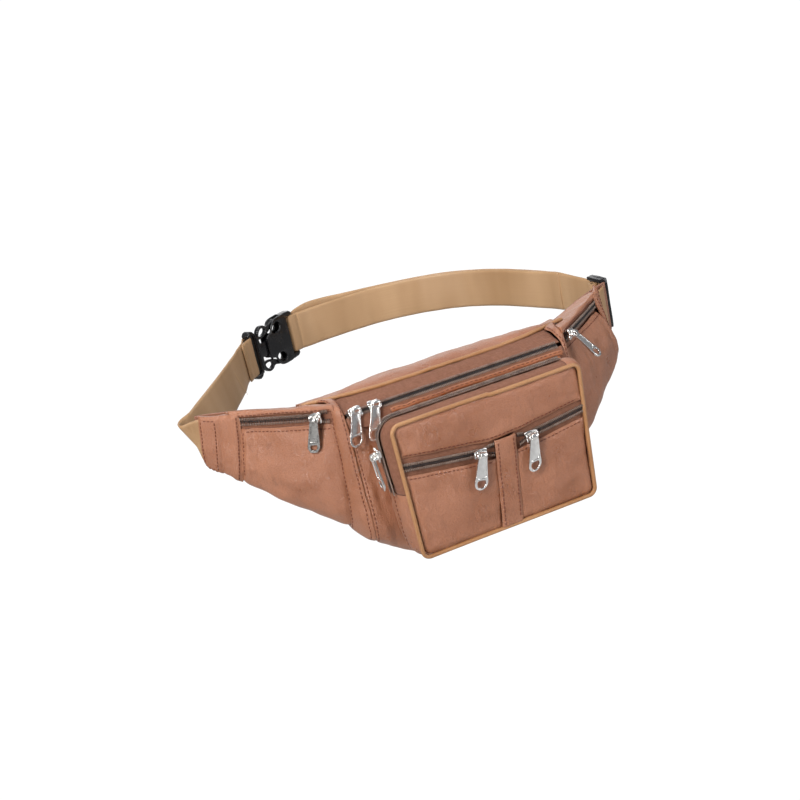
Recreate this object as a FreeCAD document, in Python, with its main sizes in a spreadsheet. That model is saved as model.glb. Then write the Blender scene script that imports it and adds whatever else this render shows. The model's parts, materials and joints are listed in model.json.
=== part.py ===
import FreeCAD, Part
import math
import os
import Sketcher
from FreeCAD import Matrix, Placement, Rotation, Vector

# Waist pack in soft leather with seven zips, a webbing belt and a side release buckle.
# Millimetres. Origin: centre of the back panel's outer face.
# X to the bag's right as seen from the front, Y toward the wearer, Z up.

os.makedirs("parts", exist_ok=True)
doc = FreeCAD.newDocument("WaistPack")
sheet = doc.addObject("Spreadsheet::Sheet", "Dims")

SIZES = {
    # general
    "wall": 1.6,
    "gap": 0.4,
    "tape_thick": 0.9,
    "trim_frame": 300,
    # back panel and bag body
    "flat_half": 95,
    "back_top": 46,
    "back_wing_top": 41,
    "back_bottom": -80,
    "bottom_half": 60,
    "root_bottom": -58,
    "tip_x": 182,
    "tip_front_y": 34.5,
    "tip_back_y": 41.5,
    "tip_top": 50,
    "tip_bottom": 7,
    "seam_x": 165,
    "root_front_y": -42.2,
    "body_seam_y": -54,
    "body_seam_z": 32,
    "body_front_y": -62,
    "body_knee_z": -30,
    "body_low_z": -62,
    "body_under_y": -50,
    "panel_half": 91.5,
    "band_back_y": -40,
    "band_x": 92.4,
    # top of the main compartment
    "top_gusset_z": 46.4,
    "top_gusset_half": 94,
    "top_gusset_corner_y": -15.2,
    "top_gusset_front_y": -26.4,
    "piping_y": -29,
    "piping_mid_half": 60,
    "piping_end_x": 108,
    "piping_end_y": -13.5,
    "piping_z": 49.4,
    "piping_size": 3.8,
    # zips
    "coil_wide": 5.4,
    "coil_thick": 2.2,
    "main_zip_y": -47,
    "main_zip_z": 42.2,
    "main_zip_half": 88,
    "main_zip_tilt": 45,
    "wing_zip_z": 43.2,
    "wing_tape_low": 36.5,
    "wing_tape_high": 47.2,
    "wing_zip_inner": 8,
    "wing_zip_outer": 82,
    "front_tape_half": 7.5,
    "left_chain_outer_x": -72.4,
    "left_chain_outer_z": 11.4,
    "left_chain_inner_x": -2.4,
    "left_chain_inner_z": 1.4,
    "right_chain_inner_x": 17.4,
    "right_chain_inner_z": 2.4,
    "right_chain_outer_x": 72.2,
    "right_chain_outer_z": 8.6,
    # front pocket
    "pocket_face_y": -102,
    "pocket_half_top": 76.8,
    "pocket_half_low": 72.4,
    "pocket_top": 44.6,
    "pocket_low": -62.4,
    "pocket_corner": 9,
    "ridge_y": -86,
    "ridge_half_top": 82.5,
    "ridge_half_low": 76.5,
    "ridge_top": 46,
    "ridge_low": -65,
    "ridge_corner": 14,
    "rear_y": -64.6,
    "rear_half_top": 76,
    "rear_half_low": 72.5,
    "rear_top": 29,
    "rear_low": -60,
    "rear_corner": 30,
    "gusset_chain_y": -88.5,
    "gusset_chain_low": -8,
    "chain_inset": 2.9,
    "divider_wide": 17,
    "divider_top_x": 7,
    "divider_top_z": 8.6,
    "divider_low_x": 0.8,
    # slider and pull
    "slider_long": 10.5,
    "slider_wide": 8.6,
    "slider_nose": 5.6,
    "slider_lift": 1.5,
    "slider_plate": 1.5,
    "flange": 0.9,
    "flange_drop": 1.3,
    "crown_half": 4.2,
    "crown_leg": 1.3,
    "crown_wide": 2.2,
    "crown_top": 6.8,
    "crown_bar": 1.6,
    "bore_radius": 1.65,
    "knuckle_radius": 2.45,
    "knuckle_half": 2.3,
    "pull_plate": 1.5,
    "pull_neck": 6.4,
    "pull_neck_end": 4,
    "pull_wide": 10.4,
    "pull_long": 26.5,
    "pull_hole": 2.7,
    "pull_rim": 1.3,
    "pull_recess": 0.35,
    # sliders at rest
    "main_left_at": -83.2,
    "main_left_lean": -0.28,
    "main_right_at": -67.1,
    "main_right_lean": -0.34,
    "left_wing_at": 16.5,
    "left_wing_lean": -0.25,
    "right_wing_at": 12.5,
    "right_wing_lean": 0.1,
    "side_slider_z": 22,
    "front_left_at": -14.5,
    "front_right_at": 27.5,
    "pull_droop": 4,
    "main_pull_droop": 24,
    "raised_pull": 38,
    # webbing belt
    "web_wide": 36,
    "web_thick": 1.6,
    "web_z": 29,
    "layer_step": 2.4,
    "belt_bends": 27,
    "web_loop_inner": 2.9,
    "neck_long": 14,
    # side release buckle
    "buckle_x": -96,
    "buckle_y": 211,
    "buckle_turn": 34.2,
    "buckle_long": 66,
    "buckle_half": 23,
    "buckle_thick": 9,
    "bar_thick": 3.6,
    "slot_long": 5.4,
    "slot_half": 18.6,
    "male_base": 15,
    "tongue_half": 7,
    "tongue_end": 46,
    "tongue_thick": 4,
    "cavity_high": 5.2,
    "mouth_x": 24,
    "cavity_end": 50,
    "arm_thick": 4.4,
    # tri-glide adjuster
    "adjuster_long": 22,
    "adjuster_high": 45,
    "adjuster_rail": 3.6,
    "adjuster_bar": 3.4,
    "adjuster_out": 3.2,
    "adjuster_in": 7.6,
    "adjuster_bar_thick": 1.8,
    "adjuster_centre_thick": 2.2,
    "adjuster_seat": 11.6,
}


def fill_sheet(sizes):
    for row, (name, value) in enumerate(sizes.items(), start=1):
        sheet.set("A%d" % row, name)
        sheet.set("B%d" % row, str(value))
        sheet.setAlias("B%d" % row, name)
    doc.recompute()


def value(expression):
    return float(sheet.evalExpression(expression))


def new_body(label):
    body = doc.addObject("PartDesign::Body", label)
    body.Label = label
    return body


def origin_plane(body, role):
    for feature in body.Origin.OriginFeatures:
        if feature.Role == role:
            return feature
    raise ValueError(role)


def new_sketch(body, tag, role, offset=None):
    sketch = body.newObject("Sketcher::SketchObject", body.Name + "_" + tag)
    sketch.AttachmentSupport = [(origin_plane(body, role), "")]
    sketch.MapMode = "FlatFace"
    if offset:
        sketch.setExpression("AttachmentOffset.Base.z", offset)
    return sketch


def add_loop(sketch, points):
    """Closed polygon whose corners are bound to expressions of the sheet."""
    corners = [Vector(value(across), value(up), 0) for across, up in points]
    first = sketch.GeometryCount
    count = len(corners)
    for index, corner in enumerate(corners):
        sketch.addGeometry(Part.LineSegment(corner, corners[(index + 1) % count]), False)
    for index in range(count):
        following = first + (index + 1) % count
        sketch.addConstraint(Sketcher.Constraint("Coincident", first + index, 2, following, 1))
    for index, (across, up) in enumerate(points):
        bind_point(sketch, first + index, 1, across, up, corners[index])


def bind_point(sketch, geometry, point, across, up, at):
    datum = sketch.addConstraint(Sketcher.Constraint("DistanceX", -1, 1, geometry, point, at.x))
    sketch.setExpression("Constraints[%d]" % datum, across)
    datum = sketch.addConstraint(Sketcher.Constraint("DistanceY", -1, 1, geometry, point, at.y))
    sketch.setExpression("Constraints[%d]" % datum, up)


def add_circle(sketch, across, up, radius):
    centre = Vector(value(across), value(up), 0)
    circle = sketch.addGeometry(Part.Circle(centre, Vector(0, 0, 1), value(radius)), False)
    bind_point(sketch, circle, 3, across, up, centre)
    datum = sketch.addConstraint(Sketcher.Constraint("Radius", circle, value(radius)))
    sketch.setExpression("Constraints[%d]" % datum, radius)


def outline(body, tag, role, loops, offset=None):
    sketch = new_sketch(body, tag, role, offset)
    for loop in loops:
        if loop[0] == "circle":
            add_circle(sketch, *loop[1:])
        else:
            add_loop(sketch, loop)
    return sketch


def pad(body, tag, sketch, length, midplane=False, backward=False):
    feature = body.newObject("PartDesign::Pad", body.Name + "_" + tag)
    feature.Profile = sketch
    feature.Midplane = midplane
    feature.Reversed = backward
    feature.setExpression("Length", length)
    doc.recompute()
    return feature


def cut(body, tag, sketch, length=None, backward=False, midplane=False):
    """Pocket of the given depth, or through everything both ways when no depth is given."""
    before = body.Shape.Volume
    feature = body.newObject("PartDesign::Pocket", body.Name + "_" + tag)
    feature.Profile = sketch
    if length:
        feature.Reversed = backward
        feature.Midplane = midplane
        feature.setExpression("Length", length)
    else:
        feature.Midplane = True
        feature.Type = "ThroughAll"
    doc.recompute()
    if feature.Shape.Volume >= before:
        raise ValueError(body.Name + " " + tag + " removes nothing")
    return feature


def trim(body, tag, role, loop):
    """Keeps only what lies inside the loop."""
    size = "Dims.trim_frame"
    frame = [("-" + size, "-" + size), (size, "-" + size), (size, size), ("-" + size, size)]
    return cut(body, tag, outline(body, tag + "_outline", role, [frame, loop]))


def loft(body, tag, kind, role, sections):
    sketches = []
    for index, (offset, points) in enumerate(sections):
        sketches.append(outline(body, "%s_%d" % (tag, index), role, [points], offset))
    feature = body.newObject("PartDesign::" + kind, body.Name + "_" + tag)
    feature.Profile = sketches[0]
    feature.Sections = sketches[1:]
    feature.Ruled = True
    doc.recompute()
    return feature


def round_edges(body, tag, radius, chosen):
    """Fillet on the edges of the body's tip that the test picks out."""
    base = body.Tip
    names = []
    for index, edge in enumerate(base.Shape.Edges, start=1):
        if chosen(edge):
            names.append("Edge%d" % index)
    feature = body.newObject("PartDesign::Fillet", body.Name + "_" + tag)
    feature.Base = (base, names)
    feature.setExpression("Radius", radius)
    doc.recompute()
    return feature


def minus(expression):
    return "-(" + expression + ")"


def both_sides(points):
    """Outline given for the right half, top to bottom, completed by its mirror image."""
    return points + [(minus(across), up) for across, up in reversed(points)]


def mirror_right(source, label):
    feature = doc.addObject("Part::Mirroring", label)
    feature.Label = label
    feature.Source = source
    feature.Normal = (1, 0, 0)
    feature.Base = (0, 0, 0)
    doc.recompute()
    return feature


def axis_placement(origin, along, outward):
    """Local X runs along the chain, local Z points away from the bag."""
    x_axis = Vector(*along).normalize()
    z_axis = Vector(*outward)
    z_axis = (z_axis - x_axis * z_axis.dot(x_axis)).normalize()
    y_axis = z_axis.cross(x_axis)
    matrix = Matrix(
        x_axis.x, y_axis.x, z_axis.x, origin[0],
        x_axis.y, y_axis.y, z_axis.y, origin[1],
        x_axis.z, y_axis.z, z_axis.z, origin[2],
        0, 0, 0, 1)
    return Placement(matrix)


fill_sheet(SIZES)
finished = []


def keep(*objects):
    finished.extend(objects)


# ---------------------------------------------------------------- back panel
def make_back_panel():
    body = new_body("back_panel")
    plan = [
        ("Dims.tip_x", "Dims.tip_back_y"), ("Dims.flat_half", "0"),
        ("-Dims.flat_half", "0"), ("-Dims.tip_x", "Dims.tip_back_y"),
        ("-Dims.tip_x", "Dims.tip_back_y - Dims.wall"), ("-Dims.flat_half", "-Dims.wall"),
        ("Dims.flat_half", "-Dims.wall"), ("Dims.tip_x", "Dims.tip_back_y - Dims.wall")]
    pad(body, "sheet", outline(body, "plan", "XY_Plane", [plan]), "Dims.trim_frame", midplane=True)
    shape = both_sides([
        ("Dims.bottom_half", "Dims.back_top"),
        ("Dims.flat_half", "Dims.back_wing_top"),
        ("Dims.tip_x", "Dims.tip_top - 2"),
        ("Dims.tip_x", "Dims.tip_bottom"),
        ("Dims.flat_half", "Dims.root_bottom"),
        ("Dims.bottom_half", "Dims.back_bottom")])
    trim(body, "cut", "XZ_Plane", shape)
    return body


# ---------------------------------------------------------------- main compartment
def band_section(points, inset_y, inset_z):
    """Closed strip: the outer line and the same line moved inward."""
    inner = [("%s + %s" % (y, iy), "%s + %s" % (z, iz))
             for (y, z), iy, iz in zip(points, inset_y, inset_z)]
    return points + inner[::-1]


def make_front_panel():
    body = new_body("main_front_panel")
    middle = [
        ("Dims.body_seam_y", "Dims.body_seam_z"), ("Dims.body_front_y", "Dims.body_knee_z"),
        ("Dims.body_front_y", "Dims.body_low_z"), ("Dims.body_under_y", "Dims.back_bottom"),
        ("-Dims.wall - Dims.gap", "Dims.back_bottom")]
    side = [
        ("Dims.body_seam_y + 3", "Dims.body_seam_z"), ("Dims.body_front_y + 2", "Dims.body_knee_z"),
        ("Dims.body_front_y + 2", "Dims.root_bottom + 14"), ("Dims.body_under_y", "Dims.root_bottom + 2"),
        ("-Dims.wall - Dims.gap", "Dims.root_bottom")]
    inset_y = ["Dims.wall", "Dims.wall", "Dims.wall", "Dims.wall", "0"]
    inset_z = ["0", "0", "Dims.wall", "Dims.wall", "Dims.wall"]
    sections = []
    for across, points in (("-Dims.panel_half", side), ("-Dims.bottom_half", middle),
                           ("Dims.bottom_half", middle), ("Dims.panel_half", side)):
        sections.append((across, band_section(points, inset_y, inset_z)))
    loft(body, "shell", "AdditiveLoft", "YZ_Plane", sections)
    return body


def make_top_gusset():
    body = new_body("main_top_gusset")
    plan = both_sides([
        ("Dims.top_gusset_half", "-Dims.wall - Dims.gap"),
        ("Dims.top_gusset_half", "Dims.top_gusset_corner_y"),
        ("Dims.piping_mid_half", "Dims.top_gusset_front_y")])
    sketch = outline(body, "plan", "XY_Plane", [plan], "Dims.top_gusset_z")
    pad(body, "sheet", sketch, "Dims.wall")
    return body


def make_main_piping():
    body = new_body("main_piping")
    half = "Dims.piping_size / 2"
    front = both_sides([
        ("Dims.piping_end_x", "Dims.piping_end_y - " + half),
        ("Dims.piping_mid_half", "Dims.piping_y - " + half)])
    back = both_sides([
        ("Dims.piping_end_x", "Dims.piping_end_y + " + half),
        ("Dims.piping_mid_half", "Dims.piping_y + " + half)])
    loop = [front[0], front[1], front[2], front[3], back[3], back[2], back[1], back[0]]
    sketch = outline(body, "plan", "XY_Plane", [loop], "Dims.piping_z")
    pad(body, "cord", sketch, "Dims.piping_size", midplane=True)
    flat = value("Dims.piping_z")
    reach = value("Dims.piping_size") * 0.4
    round_edges(body, "round", "Dims.piping_size * 0.45",
                lambda edge: edge.Length > 20 and abs(edge.CenterOfMass.z - flat) > reach)
    return body


def make_main_zip():
    """Upper tape, chain and lower tape, all straight along X."""
    drop = "Dims.coil_wide / 2 * cos(Dims.main_zip_tilt * 1 deg)"
    rise = "Dims.coil_thick / 2 * cos(Dims.main_zip_tilt * 1 deg)"
    upper = new_body("main_zip_upper_tape")
    profile = [
        ("Dims.piping_y - Dims.piping_size / 2 - Dims.gap", "Dims.piping_z - 1"),
        ("Dims.main_zip_y + 3", "Dims.main_zip_z + 1.4"),
        ("Dims.main_zip_y + 3", "Dims.main_zip_z + 1.4 - Dims.tape_thick"),
        ("Dims.piping_y - Dims.piping_size / 2 - Dims.gap", "Dims.piping_z - 1 - Dims.tape_thick")]
    sketch = outline(upper, "profile", "YZ_Plane", [profile])
    pad(upper, "sheet", sketch, "2 * Dims.main_zip_half", midplane=True)
    chain = new_body("main_zip_coil")
    profile = [
        ("Dims.main_zip_y - %s - %s" % (drop, rise), "Dims.main_zip_z - %s + %s" % (drop, rise)),
        ("Dims.main_zip_y + %s - %s" % (drop, rise), "Dims.main_zip_z + %s + %s" % (drop, rise)),
        ("Dims.main_zip_y + %s + %s" % (drop, rise), "Dims.main_zip_z + %s - %s" % (drop, rise)),
        ("Dims.main_zip_y - %s + %s" % (drop, rise), "Dims.main_zip_z - %s - %s" % (drop, rise))]
    sketch = outline(chain, "profile", "YZ_Plane", [profile])
    pad(chain, "bar", sketch, "2 * Dims.main_zip_half", midplane=True)
    lower = new_body("main_zip_lower_tape")
    profile = [
        ("Dims.main_zip_y - 2.4", "Dims.main_zip_z - 3.4"),
        ("Dims.body_seam_y", "Dims.body_seam_z + Dims.gap"),
        ("Dims.body_seam_y + Dims.tape_thick", "Dims.body_seam_z + Dims.gap"),
        ("Dims.main_zip_y - 2.4 + Dims.tape_thick", "Dims.main_zip_z - 3.4")]
    sketch = outline(lower, "profile", "YZ_Plane", [profile])
    pad(lower, "sheet", sketch, "2 * Dims.main_zip_half", midplane=True)
    return upper, chain, lower


def make_band():
    """Side strip between the front panel and the wing, on the bag's left."""
    body = new_body("left_band")
    profile = [
        ("Dims.band_back_y", "Dims.tip_top - 3"),
        ("Dims.main_zip_y - 1", "Dims.main_zip_z + 1"),
        ("Dims.body_seam_y + 3", "Dims.body_seam_z"),
        ("Dims.body_front_y + 2", "Dims.body_knee_z"),
        ("Dims.body_front_y + 2", "Dims.root_bottom + 14"),
        ("Dims.body_under_y", "Dims.root_bottom + 2"),
        ("Dims.band_back_y", "Dims.root_bottom + 1")]
    sketch = outline(body, "profile", "YZ_Plane", [profile], "-Dims.band_x - Dims.wall")
    pad(body, "sheet", sketch, "Dims.wall")
    return body


# ---------------------------------------------------------------- wings
FRONT_SLOPE = "(Dims.tip_front_y - Dims.root_front_y) / (Dims.tip_x - Dims.flat_half)"
BACK_SLOPE = "Dims.tip_back_y / (Dims.tip_x - Dims.flat_half)"
FOOT_SLOPE = "(Dims.tip_bottom - Dims.root_bottom) / (Dims.tip_x - Dims.flat_half)"


def wing_front(across):
    """Depth of the wing's front face at a distance from the middle."""
    return "Dims.root_front_y + (%s - Dims.flat_half) * %s" % (across, FRONT_SLOPE)


def wing_back(across):
    return "(%s - Dims.flat_half) * %s - Dims.wall - Dims.gap" % (across, BACK_SLOPE)


def wing_foot(across):
    return "Dims.root_bottom + (%s - Dims.flat_half) * %s" % (across, FOOT_SLOPE)


def make_wing_panel():
    body = new_body("left_wing_panel")
    skin = "Dims.wall * 1.3"
    sections = []
    for across in ("(Dims.flat_half + Dims.gap)", "Dims.seam_x"):
        front = wing_front(across)
        back = wing_back(across)
        foot = wing_foot(across)
        under = "(%s) * 0.6 + (%s) * 0.4" % (front, back)
        outer = [
            (front, "Dims.wing_tape_low - Dims.gap"),
            (front, foot + " + 22"),
            (under, foot + " + 4"),
            (back, foot)]
        inset_y = [skin, skin, skin, "0"]
        inset_z = ["0", "0", "Dims.wall", "Dims.wall"]
        sections.append((minus(across), band_section(outer, inset_y, inset_z)))
    loft(body, "shell", "AdditiveLoft", "YZ_Plane", sections)
    return body


def make_wing_top():
    """Leather edge above the wing's zip, turned back toward the back panel."""
    body = new_body("left_wing_top_strip")
    skin = "Dims.wall * 1.3"
    sections = []
    for across in ("(Dims.flat_half + Dims.gap)", "Dims.seam_x"):
        front = wing_front(across)
        back = wing_back(across)
        dip = "(%s) * 0.7 + (%s) * 0.3" % (front, back)
        outer = [
            (front, "Dims.wing_tape_high + Dims.gap"), (front, "Dims.tip_top"),
            (dip, "Dims.tip_top - 5"), (back, "Dims.back_wing_top")]
        inset_y = [skin, skin, "0", "0"]
        inset_z = ["0", "-Dims.wall", "-Dims.wall", "-Dims.wall"]
        sections.append((minus(across), band_section(outer, inset_y, inset_z)))
    loft(body, "shell", "AdditiveLoft", "YZ_Plane", sections)
    return body


def wing_turn():
    rise = value("Dims.tip_front_y - Dims.root_front_y")
    return math.degrees(math.atan2(rise, value("Dims.tip_x - Dims.flat_half")))


def wing_plate(label, left, right, low, high, front_offset, thick):
    """Plate lying in the left wing's front plane; local X counts outward from the root."""
    body = new_body(label)
    loop = [(minus(left), low), (minus(right), low), (minus(right), high), (minus(left), high)]
    sketch = outline(body, "face", "XZ_Plane", [loop], front_offset)
    pad(body, "plate", sketch, thick, backward=True)
    root = Vector(-value("Dims.flat_half"), value("Dims.root_front_y"), 0)
    body.Placement = Placement(root, Rotation(Vector(0, 0, 1), -wing_turn()))
    doc.recompute()
    return body


def make_wing_plates():
    tape = wing_plate(
        "left_wing_zip_tape", "Dims.wing_zip_inner - 3", "Dims.wing_zip_outer + 3",
        "Dims.wing_tape_low", "Dims.wing_tape_high", "-1.2", "Dims.tape_thick")
    chain = wing_plate(
        "left_wing_zip_coil", "Dims.wing_zip_inner", "Dims.wing_zip_outer",
        "Dims.wing_zip_z - Dims.coil_wide / 2", "Dims.wing_zip_z + Dims.coil_wide / 2",
        "Dims.coil_thick - 0.8", "Dims.coil_thick")
    return tape, chain


def make_tab():
    """Leather tab that closes the wing's tip over the webbing."""
    body = new_body("left_tab")
    plan = [
        ("-Dims.seam_x - Dims.gap", wing_front("(Dims.seam_x + Dims.gap)")),
        ("-Dims.tip_x", "Dims.tip_front_y"),
        ("-Dims.tip_x + Dims.wall * 0.7", "Dims.tip_front_y + Dims.wall * 0.7"),
        ("-Dims.seam_x - Dims.gap", wing_front("(Dims.seam_x + Dims.gap)") + " + Dims.wall * 1.3")]
    sketch = outline(body, "plan", "XY_Plane", [plan], "Dims.tip_bottom + 1")
    pad(body, "sheet", sketch, "Dims.tip_top - Dims.tip_bottom - 1")
    shape = [
        ("-Dims.seam_x", "Dims.tip_top"), ("-Dims.tip_x", "Dims.tip_top"),
        ("-Dims.tip_x", "Dims.tip_bottom + 2"), ("-Dims.tip_x + 3", "Dims.tip_bottom + 1"),
        ("-Dims.seam_x", "Dims.tip_bottom + 1")]
    trim(body, "shape", "XZ_Plane", shape)
    return body


# ---------------------------------------------------------------- front pocket
def cornered(half_top, half_low, top, low, corner):
    """Rounded rectangle as an eight sided outline, wider at the top than at the bottom."""
    return both_sides([
        ("%s - %s" % (half_top, corner), top),
        (half_top, "%s - %s" % (top, corner)),
        (half_low, "%s + %s" % (low, corner)),
        ("%s - %s" % (half_low, corner), low)])


def grown(prefix, by):
    return cornered(
        "Dims.%s_half_top + %s" % (prefix, by), "Dims.%s_half_low + %s" % (prefix, by),
        "Dims.%s_top + %s" % (prefix, by), "Dims.%s_low - %s" % (prefix, by),
        "Dims.%s_corner" % prefix)


def make_pocket_piping():
    body = new_body("pocket_piping")
    loops = [grown("pocket", "Dims.piping_size / 2"), grown("pocket", "-Dims.piping_size / 2")]
    sketch = outline(body, "ring", "XZ_Plane", loops, "-Dims.pocket_face_y - 1")
    pad(body, "cord", sketch, "Dims.piping_size", midplane=True)
    flat = value("Dims.pocket_face_y + 1")
    reach = value("Dims.piping_size") * 0.4
    round_edges(body, "round", "Dims.piping_size * 0.4",
                lambda edge: abs(edge.CenterOfMass.y - flat) > reach)
    return body


def ring_loft(label, sections):
    body = new_body(label)
    outer = [(offset, grown(prefix, "(%s)" % by)) for offset, prefix, by in sections]
    inner = [(offset, grown(prefix, "(%s - Dims.wall)" % by)) for offset, prefix, by in sections]
    loft(body, "outside", "AdditiveLoft", "XZ_Plane", outer)
    loft(body, "inside", "SubtractiveLoft", "XZ_Plane", inner)
    return body


def make_gussets():
    front = ring_loft("pocket_front_gusset", [
        ("-Dims.pocket_face_y - 1 - Dims.piping_size / 2 - Dims.gap", "pocket", "0"),
        ("-Dims.ridge_y", "ridge", "0")])
    rear = ring_loft("pocket_rear_gusset", [
        ("-Dims.ridge_y - Dims.gap", "ridge", "0"),
        ("-Dims.rear_y", "rear", "0")])
    return front, rear


def make_gusset_coil():
    """Chain that runs over the top of the pocket and down its left side."""
    body = new_body("pocket_gusset_zip_coil")
    lift = "Dims.gap + 0.2"
    high = "Dims.gap + 0.2 + Dims.coil_thick"
    lines = []
    for out in (lift, high):
        lines.append([
            ("Dims.ridge_half_top - Dims.ridge_corner", "Dims.ridge_top + " + out),
            ("-Dims.ridge_half_top + Dims.ridge_corner", "Dims.ridge_top + " + out),
            ("-Dims.ridge_half_top - (%s)" % out, "Dims.ridge_top - Dims.ridge_corner"),
            ("-Dims.ridge_half_top + Dims.chain_inset - (%s)" % out, "Dims.gusset_chain_low")])
    loop = lines[0] + lines[1][::-1]
    sketch = outline(body, "path", "XZ_Plane", [loop], "-Dims.gusset_chain_y")
    pad(body, "chain", sketch, "Dims.coil_wide", midplane=True)
    return body


def chain_height(side, across):
    """Height of a front zip's chain at a place across the pocket."""
    inner_x = "Dims.%s_chain_inner_x" % side
    inner_z = "Dims.%s_chain_inner_z" % side
    rise = "(Dims.%s_chain_outer_z - %s)" % (side, inner_z)
    run = "(Dims.%s_chain_outer_x - %s)" % (side, inner_x)
    return "%s + ((%s) - %s) * %s / %s" % (inner_z, across, inner_x, rise, run)


def front_plate(label, loop, offset="-Dims.pocket_face_y - Dims.wall", thick="Dims.wall"):
    body = new_body(label)
    pad(body, "plate", outline(body, "face", "XZ_Plane", [loop], offset), thick)
    return body


def make_front_panels():
    edge = "(Dims.pocket_half_top - Dims.piping_size / 2 - Dims.gap)"
    low_edge = "(Dims.pocket_half_low - Dims.piping_size / 2 - Dims.gap)"
    ceiling = "Dims.pocket_top - Dims.piping_size / 2 - Dims.gap"
    floor = "Dims.pocket_low + Dims.piping_size / 2 + Dims.gap"
    chamfer = "Dims.pocket_corner"
    slope = "(Dims.pocket_half_top - Dims.pocket_half_low) / (Dims.pocket_top - Dims.pocket_low)"
    out = "(%s - (Dims.pocket_top - 28) * %s)" % (edge, slope)
    tape = "Dims.front_tape_half"
    divider_slope = "(Dims.divider_top_x - Dims.divider_low_x) / (Dims.divider_top_z - Dims.pocket_low)"
    half_strip = "Dims.divider_wide / 2 + Dims.gap / 2"
    foot_lean = "(%s - Dims.pocket_low) * %s" % (floor, divider_slope)
    upper = front_plate("pocket_upper_panel", [
        (minus(edge) + " + " + chamfer, ceiling), (edge + " - " + chamfer, ceiling),
        (edge + " - 0.6", ceiling + " - " + chamfer),
        (out, chain_height("right", out) + " + " + tape),
        ("Dims.right_chain_inner_x", "Dims.divider_top_z + Dims.gap"),
        ("Dims.left_chain_inner_x", "Dims.divider_top_z + Dims.gap"),
        (minus(out), chain_height("left", minus(out)) + " + " + tape),
        (minus(edge) + " + 0.6", ceiling + " - " + chamfer)])
    panels = []
    for side, sign, shift in (("left", "-", "1.6"), ("right", "", "0.9")):
        inner_top = "Dims.divider_top_x %s (%s) - %s" % (sign or "+", half_strip, shift)
        inner_low = "Dims.divider_low_x %s (%s) + %s" % (sign or "+", half_strip, foot_lean)
        rim = sign + out if sign else out
        panels.append(front_plate("pocket_%s_panel" % side, [
            (rim + " * 0.985", chain_height(side, rim) + " - " + tape),
            (inner_top, chain_height(side, inner_top) + " - " + tape),
            (inner_low, floor),
            (sign + "(%s - %s)" % (low_edge, chamfer), floor),
            (sign + low_edge, floor + " + " + chamfer)]))
    divider = front_plate("pocket_divider", [
        ("Dims.divider_top_x - Dims.divider_wide / 2", "Dims.divider_top_z"),
        ("Dims.divider_top_x + Dims.divider_wide / 2", "Dims.divider_top_z"),
        ("Dims.divider_low_x + Dims.divider_wide / 2 + " + foot_lean, floor),
        ("Dims.divider_low_x - Dims.divider_wide / 2 + " + foot_lean, floor)])
    return [upper, divider] + panels


def make_front_zip(side):
    inner = "Dims.%s_chain_inner_x" % side
    outer = "Dims.%s_chain_outer_x" % side
    parts = []
    for name, half, offset, thick in (
            ("tape", "Dims.front_tape_half - Dims.gap", "-Dims.pocket_face_y - 2.8", "Dims.tape_thick"),
            ("coil", "Dims.coil_wide / 2", "-Dims.pocket_face_y - 1.3", "Dims.coil_thick")):
        loop = [
            (inner, chain_height(side, inner) + " - (%s)" % half),
            (outer, chain_height(side, outer) + " - (%s)" % half),
            (outer, chain_height(side, outer) + " + %s" % half),
            (inner, chain_height(side, inner) + " + %s" % half)]
        if name == "tape":
            loop[2:] = [(outer, chain_height(side, outer) + " + %s" % half),
                        (inner, chain_height(side, inner) + " + Dims.coil_wide")]
        parts.append(front_plate("front_%s_zip_%s" % (side, name), loop, offset, thick))
    return parts


# ---------------------------------------------------------------- sliders and pulls
def slider_body(label, placement, crown_role):
    """Top plate that straddles the chain, with side flanges and an arched crown."""
    body = new_body(label)
    nose = "Dims.slider_long / 2"
    plan = [
        (nose, "Dims.slider_nose / 2"), ("0", "Dims.slider_wide / 2"),
        (minus(nose), "Dims.slider_wide / 2"), (minus(nose), "-Dims.slider_wide / 2"),
        ("0", "-Dims.slider_wide / 2"), (nose, "-Dims.slider_nose / 2")]
    sketch = outline(body, "plan", "XY_Plane", [plan], "Dims.slider_lift")
    pad(body, "plate", sketch, "Dims.slider_plate")
    flanges = []
    for sign in ("", "-"):
        flanges.append([
            (minus(nose), sign + "Dims.slider_wide / 2"), ("0", sign + "Dims.slider_wide / 2"),
            ("0", sign + "(Dims.slider_wide / 2 - Dims.flange)"),
            (minus(nose), sign + "(Dims.slider_wide / 2 - Dims.flange)")])
    sketch = outline(body, "flanges", "XY_Plane", flanges, "Dims.slider_lift")
    pad(body, "flange", sketch, "Dims.flange_drop", backward=True)
    deck = "Dims.slider_lift + Dims.slider_plate"
    leg = "Dims.crown_half - Dims.crown_leg"
    arch = both_sides([
        ("Dims.crown_half - 1", "Dims.crown_top"), ("Dims.crown_half", "Dims.crown_top - 1.2"),
        ("Dims.crown_half", deck + " - 0.2"), (leg, deck + " - 0.2"),
        (leg, "Dims.crown_top - Dims.crown_bar")])
    sketch = outline(body, "side", crown_role, [arch])
    pad(body, "crown", sketch, "Dims.crown_wide", midplane=True)
    body.Placement = placement
    return body


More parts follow.
